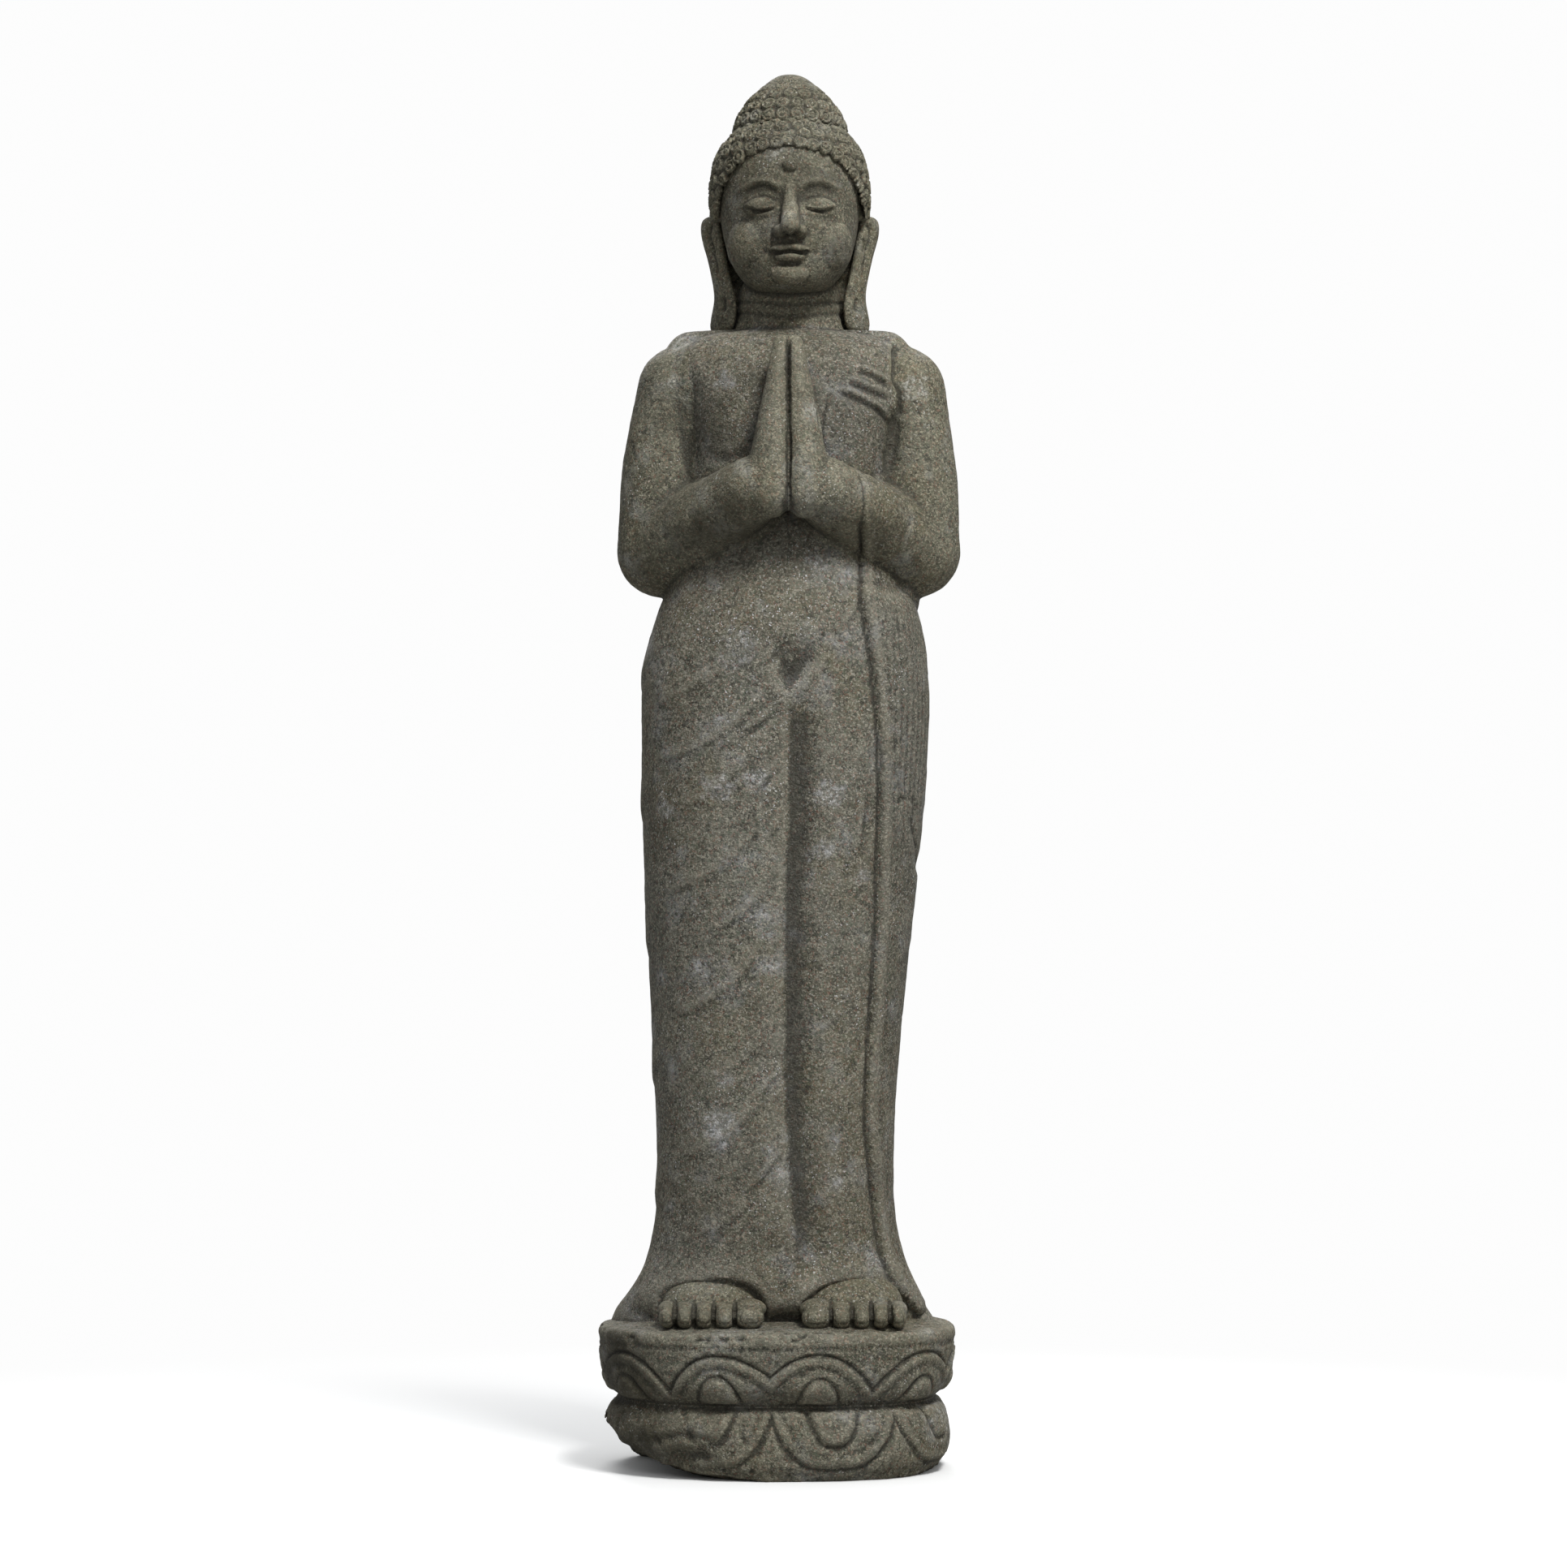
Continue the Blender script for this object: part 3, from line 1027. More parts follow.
def carveShawl(clay):
    marks = robeMarks
    at, out = clay["at"], clay["out"]
    # the shawl stands proud of the robe behind its front edge, as far as its back edge
    gap = at[:, 0] - shawlFront(at[:, 2])
    onSide = smoothStep(gap, -0.0026, 0.0026) * smoothStep(0.100 - at[:, 1], 0, 0.006) * (at[:, 0] > 0.05)
    onSide *= 1 - smoothStep(at[:, 2], 0.915, 0.935)
    at += out * (marks["shawlLift"] * onSide)[:, None]
    mark(clay, marks["shawlEdge"], 0.0030, -0.0042, "sharp", fade=0.03, facing=-0.2)
    lip = [(x + 0.008, z) for x, z in marks["shawlEdge"]]
    mark(clay, lip, 0.0050, 0.0018, fade=0.05, facing=-0.2)
    # fine pleats, fading below the hooked fold
    around = np.arctan2(at[:, 1], at[:, 0] - 0.01) * 0.125
    wave = np.sin(2 * math.pi * around / marks["pleatGap"] + 1.5 * grainNoise(at, 0.09, 61))
    pleats = onSide * smoothStep(gap, 0.008, 0.016) * (0.25 + 0.75 * smoothStep(at[:, 2], 0.60, 0.72))
    pleats *= 1 - smoothStep(at[:, 2], 0.885, 0.915)
    pleats *= 0.65 + 0.6 * grainNoise(at, 0.03, 62)
    at += out * (marks["pleatLift"] * wave * pleats)[:, None]
    mark(clay, marks["hook"], 0.0022, -0.0030, "sharp", fade=0.2, facing=-0.3)
    mark(clay, marks["hookTail"], 0.0024, -0.0040, "sharp", fade=0.2, facing=-0.5)
    mark(clay, [(x - 0.004, z + 0.002) for x, z in marks["hook"]], 0.0030, 0.0018, fade=0.3, facing=-0.3)


backMarks = {
    "folds": [[(-0.120, 0.980), (-0.060, 0.860), (-0.020, 0.640), (-0.010, 0.320)],
              [(-0.060, 1.000), (-0.010, 0.860), (0.030, 0.620), (0.040, 0.280)],
              [(0.000, 1.010), (0.050, 0.860), (0.085, 0.620), (0.085, 0.300)],
              [(-0.125, 0.860), (-0.090, 0.640), (-0.075, 0.340)]],
    "robeTop": [(-0.150, 1.010), (-0.100, 1.050), (-0.030, 1.100), (0.040, 1.150), (0.110, 1.196)],
    "spine": [(0.012, 1.190), (0.012, 1.100), (0.012, 0.990), (0.010, 0.900)],
}


def carveBack(clay):
    mark(clay, backMarks["spine"], 0.016, -0.0045, view="back", fade=0.3)
    mark(clay, backMarks["robeTop"], 0.0026, -0.0030, "edge", view="back", reach=0.10, fade=0.05)
    mark(clay, backMarks["robeTop"], 0.0022, -0.0016, "sharp", view="back", fade=0.05)
    for line in backMarks["folds"]:
        mark(clay, line, 0.011, 0.0022, view="back", fade=0.3)
        mark(clay, [(x + 0.012, z) for x, z in line], 0.0060, -0.0020, view="back", fade=0.3)


chestMarks = {
    "gatheredFolds": [[(0.082, 1.166), (0.096, 1.164), (0.110, 1.158), (0.123, 1.151)],
                      [(0.074, 1.155), (0.086, 1.149), (0.104, 1.143), (0.124, 1.137)],
                      [(0.062, 1.141), (0.078, 1.137), (0.096, 1.130), (0.112, 1.122), (0.124, 1.110)]],
    "robeEdge": [(0.125, 1.200), (0.126, 1.175), (0.126, 1.155), (0.132, 1.140), (0.131, 1.112)],
    "handShadow": [[(0.055, 1.137), (0.051, 1.111), (0.049, 1.086), (0.055, 1.066)],
                   [(0.042, 1.112), (0.045, 1.094), (0.049, 1.078)]],
    "breast": [(-0.094, 1.074), (-0.062, 1.066), (-0.036, 1.072), (-0.018, 1.090)],
    "armCreases": [[(-0.090, 1.172), (-0.091, 1.135), (-0.091, 1.090), (-0.086, 1.040)],
                   [(0.124, 1.130), (0.125, 1.105), (0.122, 1.078), (0.112, 1.040)]],
    "palmGroove": [(0.012, 1.192), (0.012, 1.130), (0.0125, 1.070), (0.012, 0.999)],
    "sleeve": [(0.086, 1.045), (0.091, 1.030), (0.092, 1.010), (0.090, 0.985), (0.088, 0.950)],
}


def carveChest(clay):
    marks = chestMarks
    for line in marks["armCreases"]:
        mark(clay, line, 0.0130, -0.0060, fade=0.35, facing=-0.3)
        mark(clay, line, 0.0050, -0.0026, fade=0.40, facing=-0.3)
    mark(clay, marks["breast"], 0.0070, -0.0026, fade=0.4)
    for line in marks["gatheredFolds"]:
        mark(clay, line, 0.0034, 0.0026, fade=0.25)
        mark(clay, [(x - 0.001, z - 0.0060) for x, z in line], 0.0026, -0.0020, fade=0.25)
    mark(clay, marks["robeEdge"], 0.0025, -0.0022, "edge", reach=0.05, fade=0.1)
    mark(clay, marks["robeEdge"], 0.0026, -0.0046, "sharp", fade=0.1)
    for line in marks["handShadow"]:
        mark(clay, line, 0.0022, -0.0022, "sharp", fade=0.25)
    # the pressed palms: a deep groove that opens towards the wrists
    mark(clay, marks["palmGroove"], 0.0070, -0.0020, fade=0.15, facing=-0.2)
    mark(clay, marks["palmGroove"], 0.0018, -0.0070, fade=0.10, facing=-0.4)
    dab(clay, (figureX, -0.155, 0.998), (0.0070, 0.03, 0.014), -0.0060)
    mark(clay, marks["sleeve"], 0.0024, 0.0022, "edge", reach=0.030, fade=0.1)
    mark(clay, marks["sleeve"], 0.0020, -0.0022, "sharp", fade=0.1)


def carveFigure(name, grain):
    lump = clayOf(name, figureForms(), grain, figure["softness"])
    clay = clayState(lump)
    carveRobe(clay)
    carveBack(clay)
    refresh(lump, clay)
    carveShawl(clay)
    carveChest(clay)
    refresh(lump, clay)
    weatherAndRub(lump, clay)
    return lump


feet = {
    "spans": {"right": (-0.122, -0.013), "left": (0.026, 0.134)},
    "front": -0.146,
    "back": -0.045,
    "slant": 0.11,  # how fast the toes fall back towards the little one
    "toeRadii": (0.0152, 0.0108, 0.0102, 0.0098, 0.0086),
    "toeHeight": 0.0108,
    "bigToe": 0.0140,
    "toeEggs": [(0.016, 1, 1.03, 0.0160, 1.06),  # how far back, lift, width, half depth, height: tip and root
                (0.031, 1.65, 1.18, 0.0240, 0.90)],
    "floorZ": baseTop + 0.0030,
    "instep": [(-0.020, 1.00, -0.080, 0.054), (0.008, 1.00, -0.080, 0.054), (0.022, 0.985, -0.077, 0.051),
               (0.034, 0.93, -0.071, 0.048), (0.044, 0.80, -0.064, 0.045), (0.052, 0.55, -0.058, 0.040),
               (0.055, 0.20, -0.054, 0.025)],  # height, share of the half width, y, half depth
    "grain": 0.0013,
    "softness": 0.0024,
}


def toePlaces(side):
    # each toe's middle and radius, and the edge that it shares with the toe before it
    low, high = feet["spans"][side]
    inner, step = (high, -1) if side == "right" else (low, 1)
    size = (high - low) / (2 * sum(feet["toeRadii"]))
    toes, edge = [], inner
    for radius in feet["toeRadii"]:
        toes.append((edge + step * radius * size, radius * size, edge))
        edge += step * 2 * radius * size
    return toes, inner


def footForms(side):
    low, high = feet["spans"][side]
    middle, half = (low + high) / 2, (high - low) / 2
    rows = [(baseTop + z, middle, y, half * share, deep) for z, share, y, deep in feet["instep"]]
    forms = [stacked("instepForm", rows, 2.7)]
    toes, inner = toePlaces(side)
    for x, radius, edge in toes:
        tall = feet["toeHeight"] * (1.10 if radius > feet["bigToe"] else 1.0)
        for back, lift, wide, deep, high in feet["toeEggs"]:
            place = (x, feet["front"] + back, feet["floorZ"] + tall * lift)
            forms.append(egg(place, (radius * wide, deep, tall * high)))
    return forms


def carveFoot(side):
    lump = clayOf(side + "FootClay", footForms(side), feet["grain"], feet["softness"])
    clay = clayState(lump)
    toes, inner = toePlaces(side)
    for number, (x, radius, edge) in enumerate(toes):
        if number:
            gap = [(edge, baseTop + 0.038), (edge, baseTop + 0.024), (edge, baseTop + 0.010), (edge, baseTop - 0.006)]
            mark(clay, gap, 0.0016, -0.0026, fade=0.35)
        # the nail: a rim cut round a flat plate
        nailWide, nailLow, nailHigh = radius * 0.62, feet["floorZ"] + 0.0060, feet["floorZ"] + 0.0180
        rim = [(x - nailWide, nailHigh), (x - nailWide * 1.05, nailLow + 0.002), (x - nailWide * 0.6, nailLow),
               (x + nailWide * 0.6, nailLow), (x + nailWide * 1.05, nailLow + 0.002), (x + nailWide, nailHigh)]
        mark(clay, rim, 0.0011, -0.0010, fade=0.1)
    clay["at"][:, 1] += feet["slant"] * np.abs(clay["at"][:, 0] - inner)
    refresh(lump, clay)
    weatherAndRub(lump, clay, 0.55)
    return lump


def makeFeet(robe):
    for side in ("right", "left"):
        foot = carveFoot(side)
        cutBlock(foot, (-0.4, -0.4, baseTop - 0.3), (0.4, 0.4, baseTop))
        cutBlock(foot, (-0.4, feet["back"], 0), (0.4, 0.4, 0.5))
        cutWith(foot, ledge, False)
        cutWith(robe, foot, False)
        deliver(foot, side + "_foot", "skin_stone")


def makeFigure():
    lower = carveFigure("lowerFigure", figure["lowerGrain"])
    print("the lower figure is carved")
    upper = carveFigure("upperFigure", figure["upperGrain"])
    print("the upper figure is carved")
    waist, neck = figure["waistZ"], figure["neckZ"]
    rightHalf = block("rightHalf", (-0.6, -0.6, 0.0), (figureX, 0.6, 1.8))
    handCutter, armCutter = (
        solidSkin(name, boneLimbs(bones, -1, swell) + boneLimbs(bones, 1, swell))
        for name, bones, swell in (("handCutter", handBones, figure["handSwell"]),
                                   ("armCutter", armBones, figure["armSwell"])))
    cutBlock(upper, (-0.6, -0.6, -0.2), (0.6, 0.6, figure["underArmsZ"]))
    cutBlock(upper, (-0.6, -0.6, neck), (0.6, 0.6, 1.8))
    hands = cutWith(copyOf(upper, "hands"), handCutter, True)
    cutWith(upper, handCutter, False)
    arms = cutWith(copyOf(upper, "arms"), armCutter, True)
    cutWith(upper, armCutter, False)
    cutBlock(upper, (-0.6, -0.6, -0.2), (0.6, 0.6, waist))
    for pair, node, slotName in ((hands, "hand", "skin_stone"), (arms, "arm", "skin_stone")):
        left = cutWith(copyOf(pair, "left"), rightHalf, False)
        cutWith(pair, rightHalf, True)
        deliver(pair, "right_" + node, slotName)
        deliver(left, "left_" + node, slotName)
    deliver(upper, "torso", "robe_stone")
    cutBlock(lower, (-0.6, -0.6, waist), (0.6, 0.6, 1.8))
    cutBlock(lower, (-0.6, -0.6, -0.2), (0.6, 0.6, baseTop))
    for cutter in (ledge, handCutter, armCutter):
        cutWith(lower, cutter, False)
    # the shawl end is a plate on the left side, over a slightly smaller core
    shawl = figure["shawl"]
    core = stacked("robeCore", grown(figure["robe"], -shawl["thick"]))
    line = [(x, z) for x, z in robeMarks["shawlEdge"] if z < shawl["topZ"]]
    outline = line + [(shawl["outerX"], line[-1][1]), (shawl["outerX"], line[0][1])]
    prism = plate("shawlPrism", outline, shawl["frontY"], shawl["deep"])
    cutWith(prism, core, False)
    shawlEnd = cutWith(copyOf(lower, "shawlEnd"), prism, True)
    cutWith(lower, prism, False)
    makeFeet(lower)
    deliver(shawlEnd, "shawl_end", "robe_stone")
    deliver(lower, "robe_skirt", "robe_stone")
    drop(rightHalf, handCutter, armCutter, core, prism)


makeFigure()
print("the figure is parted into its stones")


# --- the head

face = {
    "skull": [(1.250, 0.014, -0.040, 0.030, 0.034), (1.262, 0.014, -0.032, 0.049, 0.055),
              (1.285, 0.014, -0.020, 0.064, 0.071), (1.315, 0.014, -0.007, 0.072, 0.082),
              (1.350, 0.014, 0.002, 0.077, 0.089), (1.385, 0.014, 0.006, 0.079, 0.091),
              (1.415, 0.014, 0.008, 0.070, 0.080), (1.435, 0.014, 0.009, 0.046, 0.054),
              (1.443, 0.014, 0.010, 0.022, 0.026)],
    "eyeZ": 1.338,
    "browZ": 1.357,
    "noseZ": 1.303,
    "mouthZ": 1.284,
    "grain": 0.0015,
    "softness": 0.0034,
}


def faceForms():
    forms = [stacked("skullForm", face["skull"]), stacked("neckForm", figure["neck"]),
             egg((headX, 0.036, 1.236), (0.076, 0.036, 0.062))]
    eyeZ, noseZ, mouthZ = face["eyeZ"], face["noseZ"], face["mouthZ"]
    # nose: bridge, tip and wings
    forms.append(limb((headX, -0.0815, face["browZ"] - 0.002), (headX, -0.100, noseZ + 0.010), 0.0080, 0.0098))
    forms.append(egg((headX, -0.102, noseZ + 0.006), (0.0105, 0.0105, 0.0090)))
    for side in (-1, 1):
        forms.append(egg((headX + side * 0.0115, -0.0920, noseZ + 0.0035), (0.0068, 0.0100, 0.0068)))
        # lidded eyes
        forms.append(egg((headX + side * 0.031, -0.0700, eyeZ), (0.0185, 0.0155, 0.0115), (0, side * 4, 0)))
        # cheeks and the corners of the jaw
        forms.append(egg((headX + side * 0.034, -0.046, 1.300), (0.034, 0.036, 0.036)))
        # upper lip
        forms.append(egg((headX + side * 0.0085, -0.0890, mouthZ + 0.0040), (0.0135, 0.0080, 0.0045), (0, side * 7, 0)))
    forms.append(egg((headX, -0.0885, mouthZ - 0.0052), (0.0160, 0.0080, 0.0052)))
    forms.append(egg((headX, -0.0800, 1.2635), (0.0210, 0.0120, 0.0120)))
    return forms


def mirrorMark(clay, corners, *values, **more):
    for side in (-1, 1):
        mark(clay, [(headX + side * x, z) for x, z in corners], *values, **more)


def carveFace(clay):
    eyeZ, browZ, noseZ, mouthZ = face["eyeZ"], face["browZ"], face["noseZ"], face["mouthZ"]
    for side in (-1, 1):
        # sockets sink beside the nose and under the brow
        dab(clay, (headX + side * 0.017, -0.090, eyeZ + 0.006), (0.009, 0.03, 0.010), -0.0042)
        dab(clay, (headX + side * 0.034, -0.085, eyeZ + 0.015), (0.020, 0.03, 0.006), -0.0026)
        dab(clay, (headX + side * 0.032, -0.085, eyeZ - 0.014), (0.018, 0.03, 0.005), -0.0014)
    mirrorMark(clay, [(0.006, browZ - 0.008), (0.015, browZ + 0.001), (0.032, browZ + 0.007), (0.048, browZ + 0.002),
                      (0.058, browZ - 0.008)], 0.0042, 0.0026, fade=0.25)
    mirrorMark(clay, [(0.012, browZ - 0.006), (0.020, browZ - 0.001), (0.033, browZ + 0.002), (0.048, browZ - 0.003)],
               0.0022, -0.0011, "sharp", fade=0.3)
    # closed lids: the slit, the fold over it and the lower rim
    slit = [(0.0145, eyeZ - 0.0040), (0.023, eyeZ - 0.0072), (0.033, eyeZ - 0.0080), (0.043, eyeZ - 0.0055),
            (0.0495, eyeZ - 0.0015)]
    mirrorMark(clay, slit, 0.0016, -0.0030, fade=0.15)
    mirrorMark(clay, [(x, z + 0.0032) for x, z in slit], 0.0018, 0.0012, fade=0.2)
    mirrorMark(clay, [(x, z - 0.0036) for x, z in slit], 0.0018, 0.0010, fade=0.25)
    mirrorMark(clay, [(0.014, eyeZ + 0.0015), (0.022, eyeZ + 0.0075), (0.033, eyeZ + 0.0095), (0.044, eyeZ + 0.0065),
                      (0.051, eyeZ + 0.001)], 0.0015, -0.0015, fade=0.2)
    # nose: nostrils, and the crease round each wing
    for side in (-1, 1):
        dab(clay, (headX + side * 0.0060, -0.1010, noseZ - 0.0035), (0.0036, 0.0052, 0.0036), -0.0052)
    wing = [(0.0185, noseZ + 0.010), (0.0205, noseZ + 0.003), (0.0185, noseZ - 0.004)]
    mirrorMark(clay, wing, 0.0017, -0.0013, fade=0.3)
    mark(clay, [(headX, noseZ - 0.005), (headX, mouthZ + 0.0095)], 0.0030, -0.0012, fade=0.2)
    # mouth: a quiet line with slightly raised corners
    mouth = [(headX - 0.0255, mouthZ + 0.0022), (headX - 0.012, mouthZ - 0.0012), (headX, mouthZ + 0.0004),
             (headX + 0.012, mouthZ - 0.0012), (headX + 0.0255, mouthZ + 0.0022)]
    mark(clay, mouth, 0.0016, -0.0028, fade=0.12)
    for side in (-1, 1):
        dab(clay, (headX + side * 0.0270, -0.085, mouthZ + 0.002), (0.0040, 0.02, 0.0040), -0.0018)
    mark(clay, [(headX - 0.014, 1.2725), (headX, 1.2705), (headX + 0.014, 1.2725)], 0.0032, -0.0018, fade=0.25)


neckRings = {"heights": (1.2440, 1.2310), "sag": 0.010, "width": 0.0032, "depth": 0.0014}


def carveNeck(clay):
    at, out = clay["at"], clay["out"]
    for z in neckRings["heights"]:
        across = (at[:, 0] - headX) / 0.056
        ring = z + neckRings["sag"] * (across**2 - 0.5)
        height = bump(at[:, 2], ring, neckRings["width"]) * smoothStep(-out[:, 1], -0.5, 0.1)
        height *= (at[:, 2] < 1.252) * (np.hypot(at[:, 0] - headX, at[:, 1] - 0.014) < 0.070)
        at -= out * (neckRings["depth"] * height)[:, None]


def makeHead():
    lump = clayOf("headClay", faceForms(), face["grain"], face["softness"])
    clay = clayState(lump)
    carveFace(clay)
    carveNeck(clay)
    refresh(lump, clay)
    weatherAndRub(lump, clay, 0.5)
    cutBlock(lump, (-0.6, -0.6, 0.5), (0.6, 0.6, figure["neckZ"]))
    return lump


# --- the hair, in rows of snail curls

hair = {
    "cap": [(1.262, 0.014, 0.030, 0.058, 0.052), (1.280, 0.014, 0.020, 0.074, 0.072),
            (1.305, 0.014, 0.014, 0.081, 0.083), (1.350, 0.014, 0.009, 0.086, 0.095),
            (1.385, 0.014, 0.010, 0.087, 0.097), (1.415, 0.014, 0.011, 0.079, 0.087),
            (1.438, 0.014, 0.012, 0.058, 0.065), (1.450, 0.014, 0.012, 0.030, 0.034)],
    "knot": [(1.415, 0.014, 0.014, 0.055, 0.058), (1.428, 0.014, 0.014, 0.0615, 0.065),
             (1.442, 0.014, 0.014, 0.0620, 0.066), (1.458, 0.014, 0.014, 0.0555, 0.060),
             (1.475, 0.014, 0.013, 0.0430, 0.047), (1.490, 0.014, 0.012, 0.0290, 0.031),
             (1.503, 0.014, 0.012, 0.0120, 0.012)],
    "curlRadius": 0.0088,
    "curlHeight": 0.0038,
    "behindEars": 0.026,  # under the ears' tops the hair stays behind this depth
    "earTopZ": 1.338,
    "grain": 0.00147,
    "softness": 0.003,
    "line": [(-0.090, 1.300), (-0.082, 1.335), (-0.074, 1.365), (-0.052, 1.389), (-0.025, 1.399), (0.0, 1.402),
             (0.025, 1.399), (0.052, 1.389), (0.074, 1.365), (0.082, 1.335), (0.090, 1.300)],
}


def curlPlaces(rows, gap, low, high):
    # rows of evenly spaced spots round a stacked form, each row shifted by half a step
    table = np.array(rows)
    spots = []
    z = low
    number = 0
    while z < high:
        x, y, halfWidth, halfDepth = (np.interp(z, table[:, 0], table[:, k]) for k in (1, 2, 3, 4))
        above, below = (np.interp(z + side * 0.004, table[:, 0], table[:, 3]) for side in (1, -1))
        slope = (above - below) / 0.008
        count = max(5, int(round(2 * math.pi * (halfWidth + halfDepth) / 2 / gap)))
        for step in range(count):
            angle = 2 * math.pi * (step + 0.5 * (number % 2)) / count
            spots.append((x + halfWidth * math.cos(angle), y + halfDepth * math.sin(angle), z))
        z += gap * 0.86 / math.sqrt(1 + min(slope**2, 9))
        number += 1
    return np.array(spots)


def addCurls(clay, spots, radius, height, seed):
    # each curl is a raised snail: an outer turn, a groove and a bead in the middle
    at, out = clay["at"], clay["out"]
    luck = np.random.default_rng(seed).uniform(0, 1, (len(spots), 3))
    nearest = np.full(len(at), 9.0)
    lift = np.zeros(len(at))
    for spot, (turn, size, worn) in zip(spots, luck):
        off = at - spot
        gap = np.sqrt((off**2).sum(1))
        near = np.nonzero((gap < radius * 1.35) & (gap < nearest))[0]
        if not len(near):
            continue
        nearest[near] = gap[near]
        share = gap[near] / (radius * (0.94 + 0.14 * size))
        angle = np.arctan2(off[near, 2], off[near, 0] * np.sign(-spot[1] + 0.02) + off[near, 1] * 0.6)
        spiral = share + 0.16 * (angle / math.pi + 2 * turn) % 0.32 - 0.16
        body = 1 - smoothStep(share, 0.72, 1.08)
        turnRidge = 0.32 * np.cos(2 * math.pi * (spiral - 0.66) / 0.52)
        lift[near] = (0.62 * body + turnRidge * body) * (0.55 + 0.45 * worn) - 0.30 * (1 - body)
    at += out * (lift * height)[:, None]


def makeHair(head):
    cap = clayOf("hairCapClay", [stacked("capForm", hair["cap"])], hair["grain"], hair["softness"])
    # the opening over the face follows the hairline
    line = smoothLine(hair["line"])
    outline = [(headX + x, z) for x, z in line] + [(0.20, 1.20), (-0.20, 1.20)]
    opening = plate("faceOpening", outline, -0.30, 0.292)
    cutWith(cap, opening, False)
    drop(opening)
    cutBlock(cap, (-0.3, -0.3, 1.2), (0.3, hair["behindEars"], hair["earTopZ"]))
    finishWith(cap, "REMESH", mode="VOXEL", voxel_size=hair["grain"] * coarse)
    finishWith(cap, "SMOOTH", factor=0.5, iterations=4)
    clay = clayState(cap)
    gap = hair["curlRadius"] * 1.9
    spots = curlPlaces(hair["cap"], gap, 1.268, 1.444)
    # a row along the hairline, and no curl within half a step of it
    table = np.array(hair["cap"])
    edgeSpots = []
    lengths = np.concatenate([[0], np.cumsum(np.hypot(*np.diff(line, axis=0).T))])
    for share in np.arange(0.0, lengths[-1], gap * 0.82):
        x = np.interp(share, lengths, line[:, 0])
        z = np.interp(share, lengths, line[:, 1]) + hair["curlRadius"] * 0.75
        halfWidth, halfDepth = (np.interp(z, table[:, 0], table[:, k]) for k in (3, 4))
        x *= 0.985
        depth = halfDepth * math.sqrt(max(0.0, 1 - min(1.0, abs(x) / halfWidth) ** 2))
        edgeSpots.append((headX + x, 0.010 - depth, z))
    edgeSpots = np.array(edgeSpots)
    keep = []
    lineZ = np.interp(spots[:, 0] - headX, line[:, 0], line[:, 1])
    for spot, hairline in zip(spots, lineZ):
        inFront = spot[1] < -0.006
        clearOfRow = np.sqrt(((edgeSpots - spot) ** 2).sum(1)).min() > gap * 0.80
        keep.append((not inFront or spot[2] > hairline + 0.008) and clearOfRow)
    spots = np.vstack([edgeSpots, spots[np.array(keep)]])
    spots = np.array([spot for spot in spots if spot[2] > 1.340 or spot[1] > hair["behindEars"] + 0.004])
    spots += np.random.default_rng(75).uniform(-0.0016, 0.0016, spots.shape)
    addCurls(clay, spots, hair["curlRadius"], hair["curlHeight"], 71)
    refresh(cap, clay)
    weatherAndRub(cap, clay, 0.45)
    cutWith(cap, head, False)
    knot = clayOf("knotClay", [stacked("knotForm", hair["knot"])], hair["grain"], hair["softness"])
    clay = clayState(knot)
    spots = curlPlaces(hair["knot"], gap, 1.430, 1.492)
    before = clay["at"].copy()
    addCurls(clay, spots, hair["curlRadius"], hair["curlHeight"] * 0.9, 72)
    worn = 0.8 * smoothStep(before[:, 2], 1.466, 1.488)[:, None]
    clay["at"] = clay["at"] * (1 - worn) + before * worn
    refresh(knot, clay)
    weatherStone(clay, 0.5)
    clay["at"][:, 2] = np.minimum(clay["at"][:, 2], crownTop)
    refresh(knot, clay)
    rubHollows(knot, clay)
    cutWith(knot, cap, False)
    cutWith(knot, head, False)
    deliver(cap, "hair", "hair_stone")
    deliver(knot, "topknot", "hair_stone")


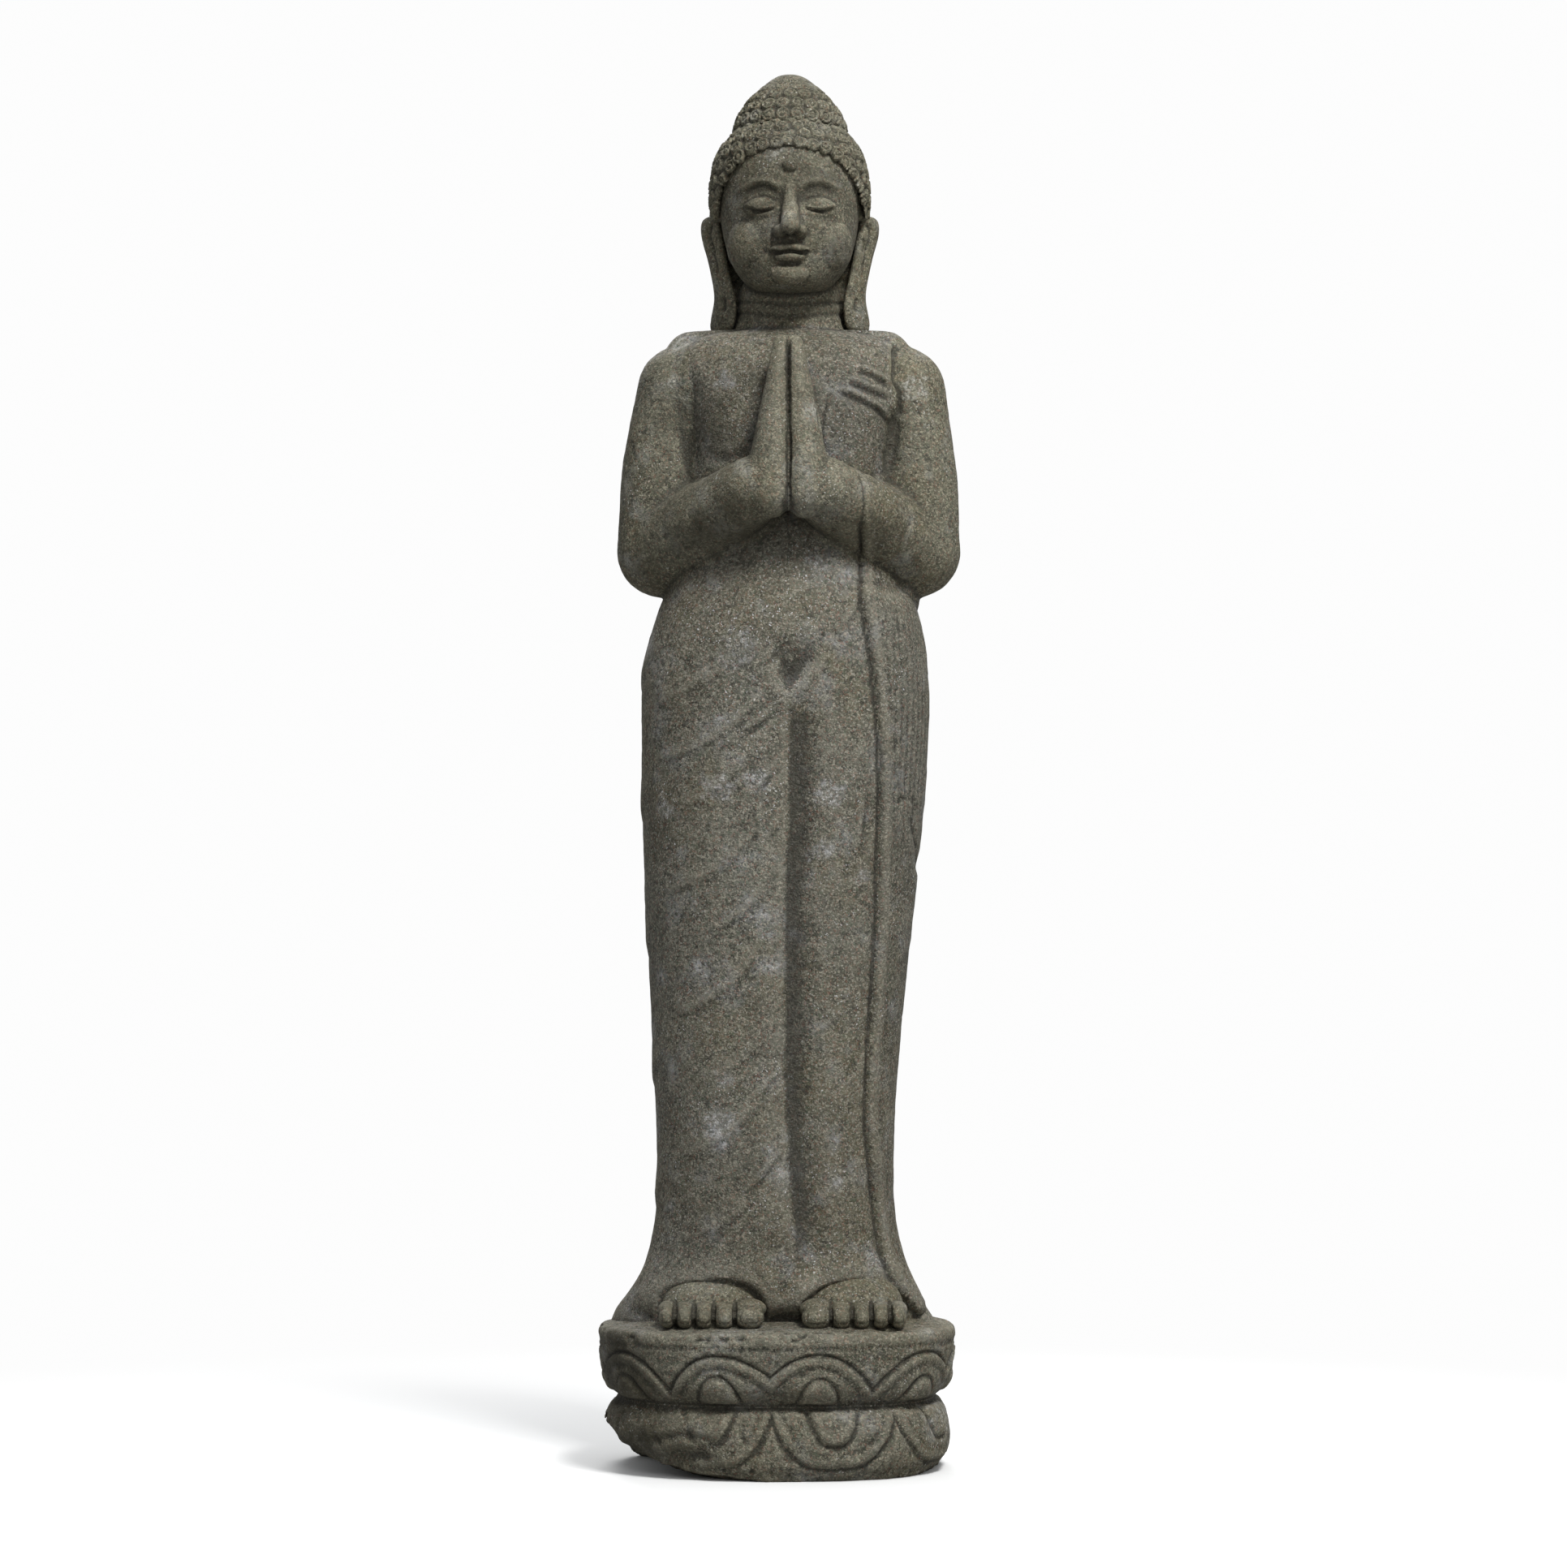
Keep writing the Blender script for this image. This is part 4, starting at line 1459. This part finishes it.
ear = {  # z, offset from the head's middle, y, half thickness, half depth
    "rows": [(1.2165, 0.0740, 0.017, 0.0105, 0.0100), (1.2260, 0.0735, 0.017, 0.0150, 0.0120),
             (1.2420, 0.0710, 0.016, 0.0140, 0.0115), (1.2560, 0.0705, 0.015, 0.0115, 0.0105),
             (1.2740, 0.0740, 0.014, 0.0105, 0.0115), (1.2980, 0.0790, 0.014, 0.0105, 0.0140),
             (1.3180, 0.0835, 0.015, 0.0115, 0.0160), (1.3360, 0.0865, 0.016, 0.0120, 0.0150),
             (1.3480, 0.0875, 0.016, 0.0090, 0.0115)],
    "turnBack": 0.85,  # how far the outer rim lies behind the inner one
    "grain": 0.0011,
    "rim": 0.080,
    "softness": 0.0020,
    "grooves": [  # offsets from the head's middle and z, width, depth: both hollows and the slit of the lobe
        ([(0.0790, 1.3330), (0.0865, 1.3340), (0.0895, 1.3250), (0.0870, 1.3080), (0.0820, 1.2900),
          (0.0765, 1.2720)], 0.0030, -0.0050),
        ([(0.0800, 1.3220), (0.0820, 1.3120), (0.0790, 1.3010)], 0.0024, -0.0026),
        ([(0.0735, 1.2560), (0.0720, 1.2450), (0.0730, 1.2360)], 0.0026, -0.0030)],
}


def makeEars(head):
    for side, name in ((-1, "right"), (1, "left")):
        rows = [(z, headX + side * offset, y, w, d) for z, offset, y, w, d in ear["rows"]]
        lump = clayOf(name + "EarClay", [stacked("earForm", rows, sides=24)], ear["grain"], ear["softness"])
        clay = clayState(lump)
        at = clay["at"]
        at[:, 1] += ear["turnBack"] * (side * (at[:, 0] - headX) - ear["rim"])
        refresh(lump, clay)
        for line, width, depth in ear["grooves"]:
            mark(clay, [(headX + side * offset, z) for offset, z in line], width, depth, fade=0.25, facing=-0.2)
        refresh(lump, clay)
        weatherAndRub(lump, clay, 0.45)
        cutWith(lump, head, False)
        deliver(lump, name + "_ear", "skin_stone")


head = makeHead()
makeHair(head)
makeEars(head)
dot = {"place": (headX, -0.0845, 1.380), "halves": (0.0080, 0.0055, 0.0080), "grain": 0.0007, "softness": 0.0008}
dotClay = clayOf("dotClay", [egg(dot["place"], dot["halves"])], dot["grain"], dot["softness"])
dotState = clayState(dotClay)
weatherAndRub(dotClay, dotState, 0.3)
cutWith(dotClay, head, False)
deliver(dotClay, "forehead_dot", "skin_stone")
deliver(head, "head", "skin_stone")
print("the head is carved")

triangles = sum(len(face.vertices) - 2 for piece in finished for face in piece.data.polygons)
print("pieces", len(finished), "triangles", triangles)
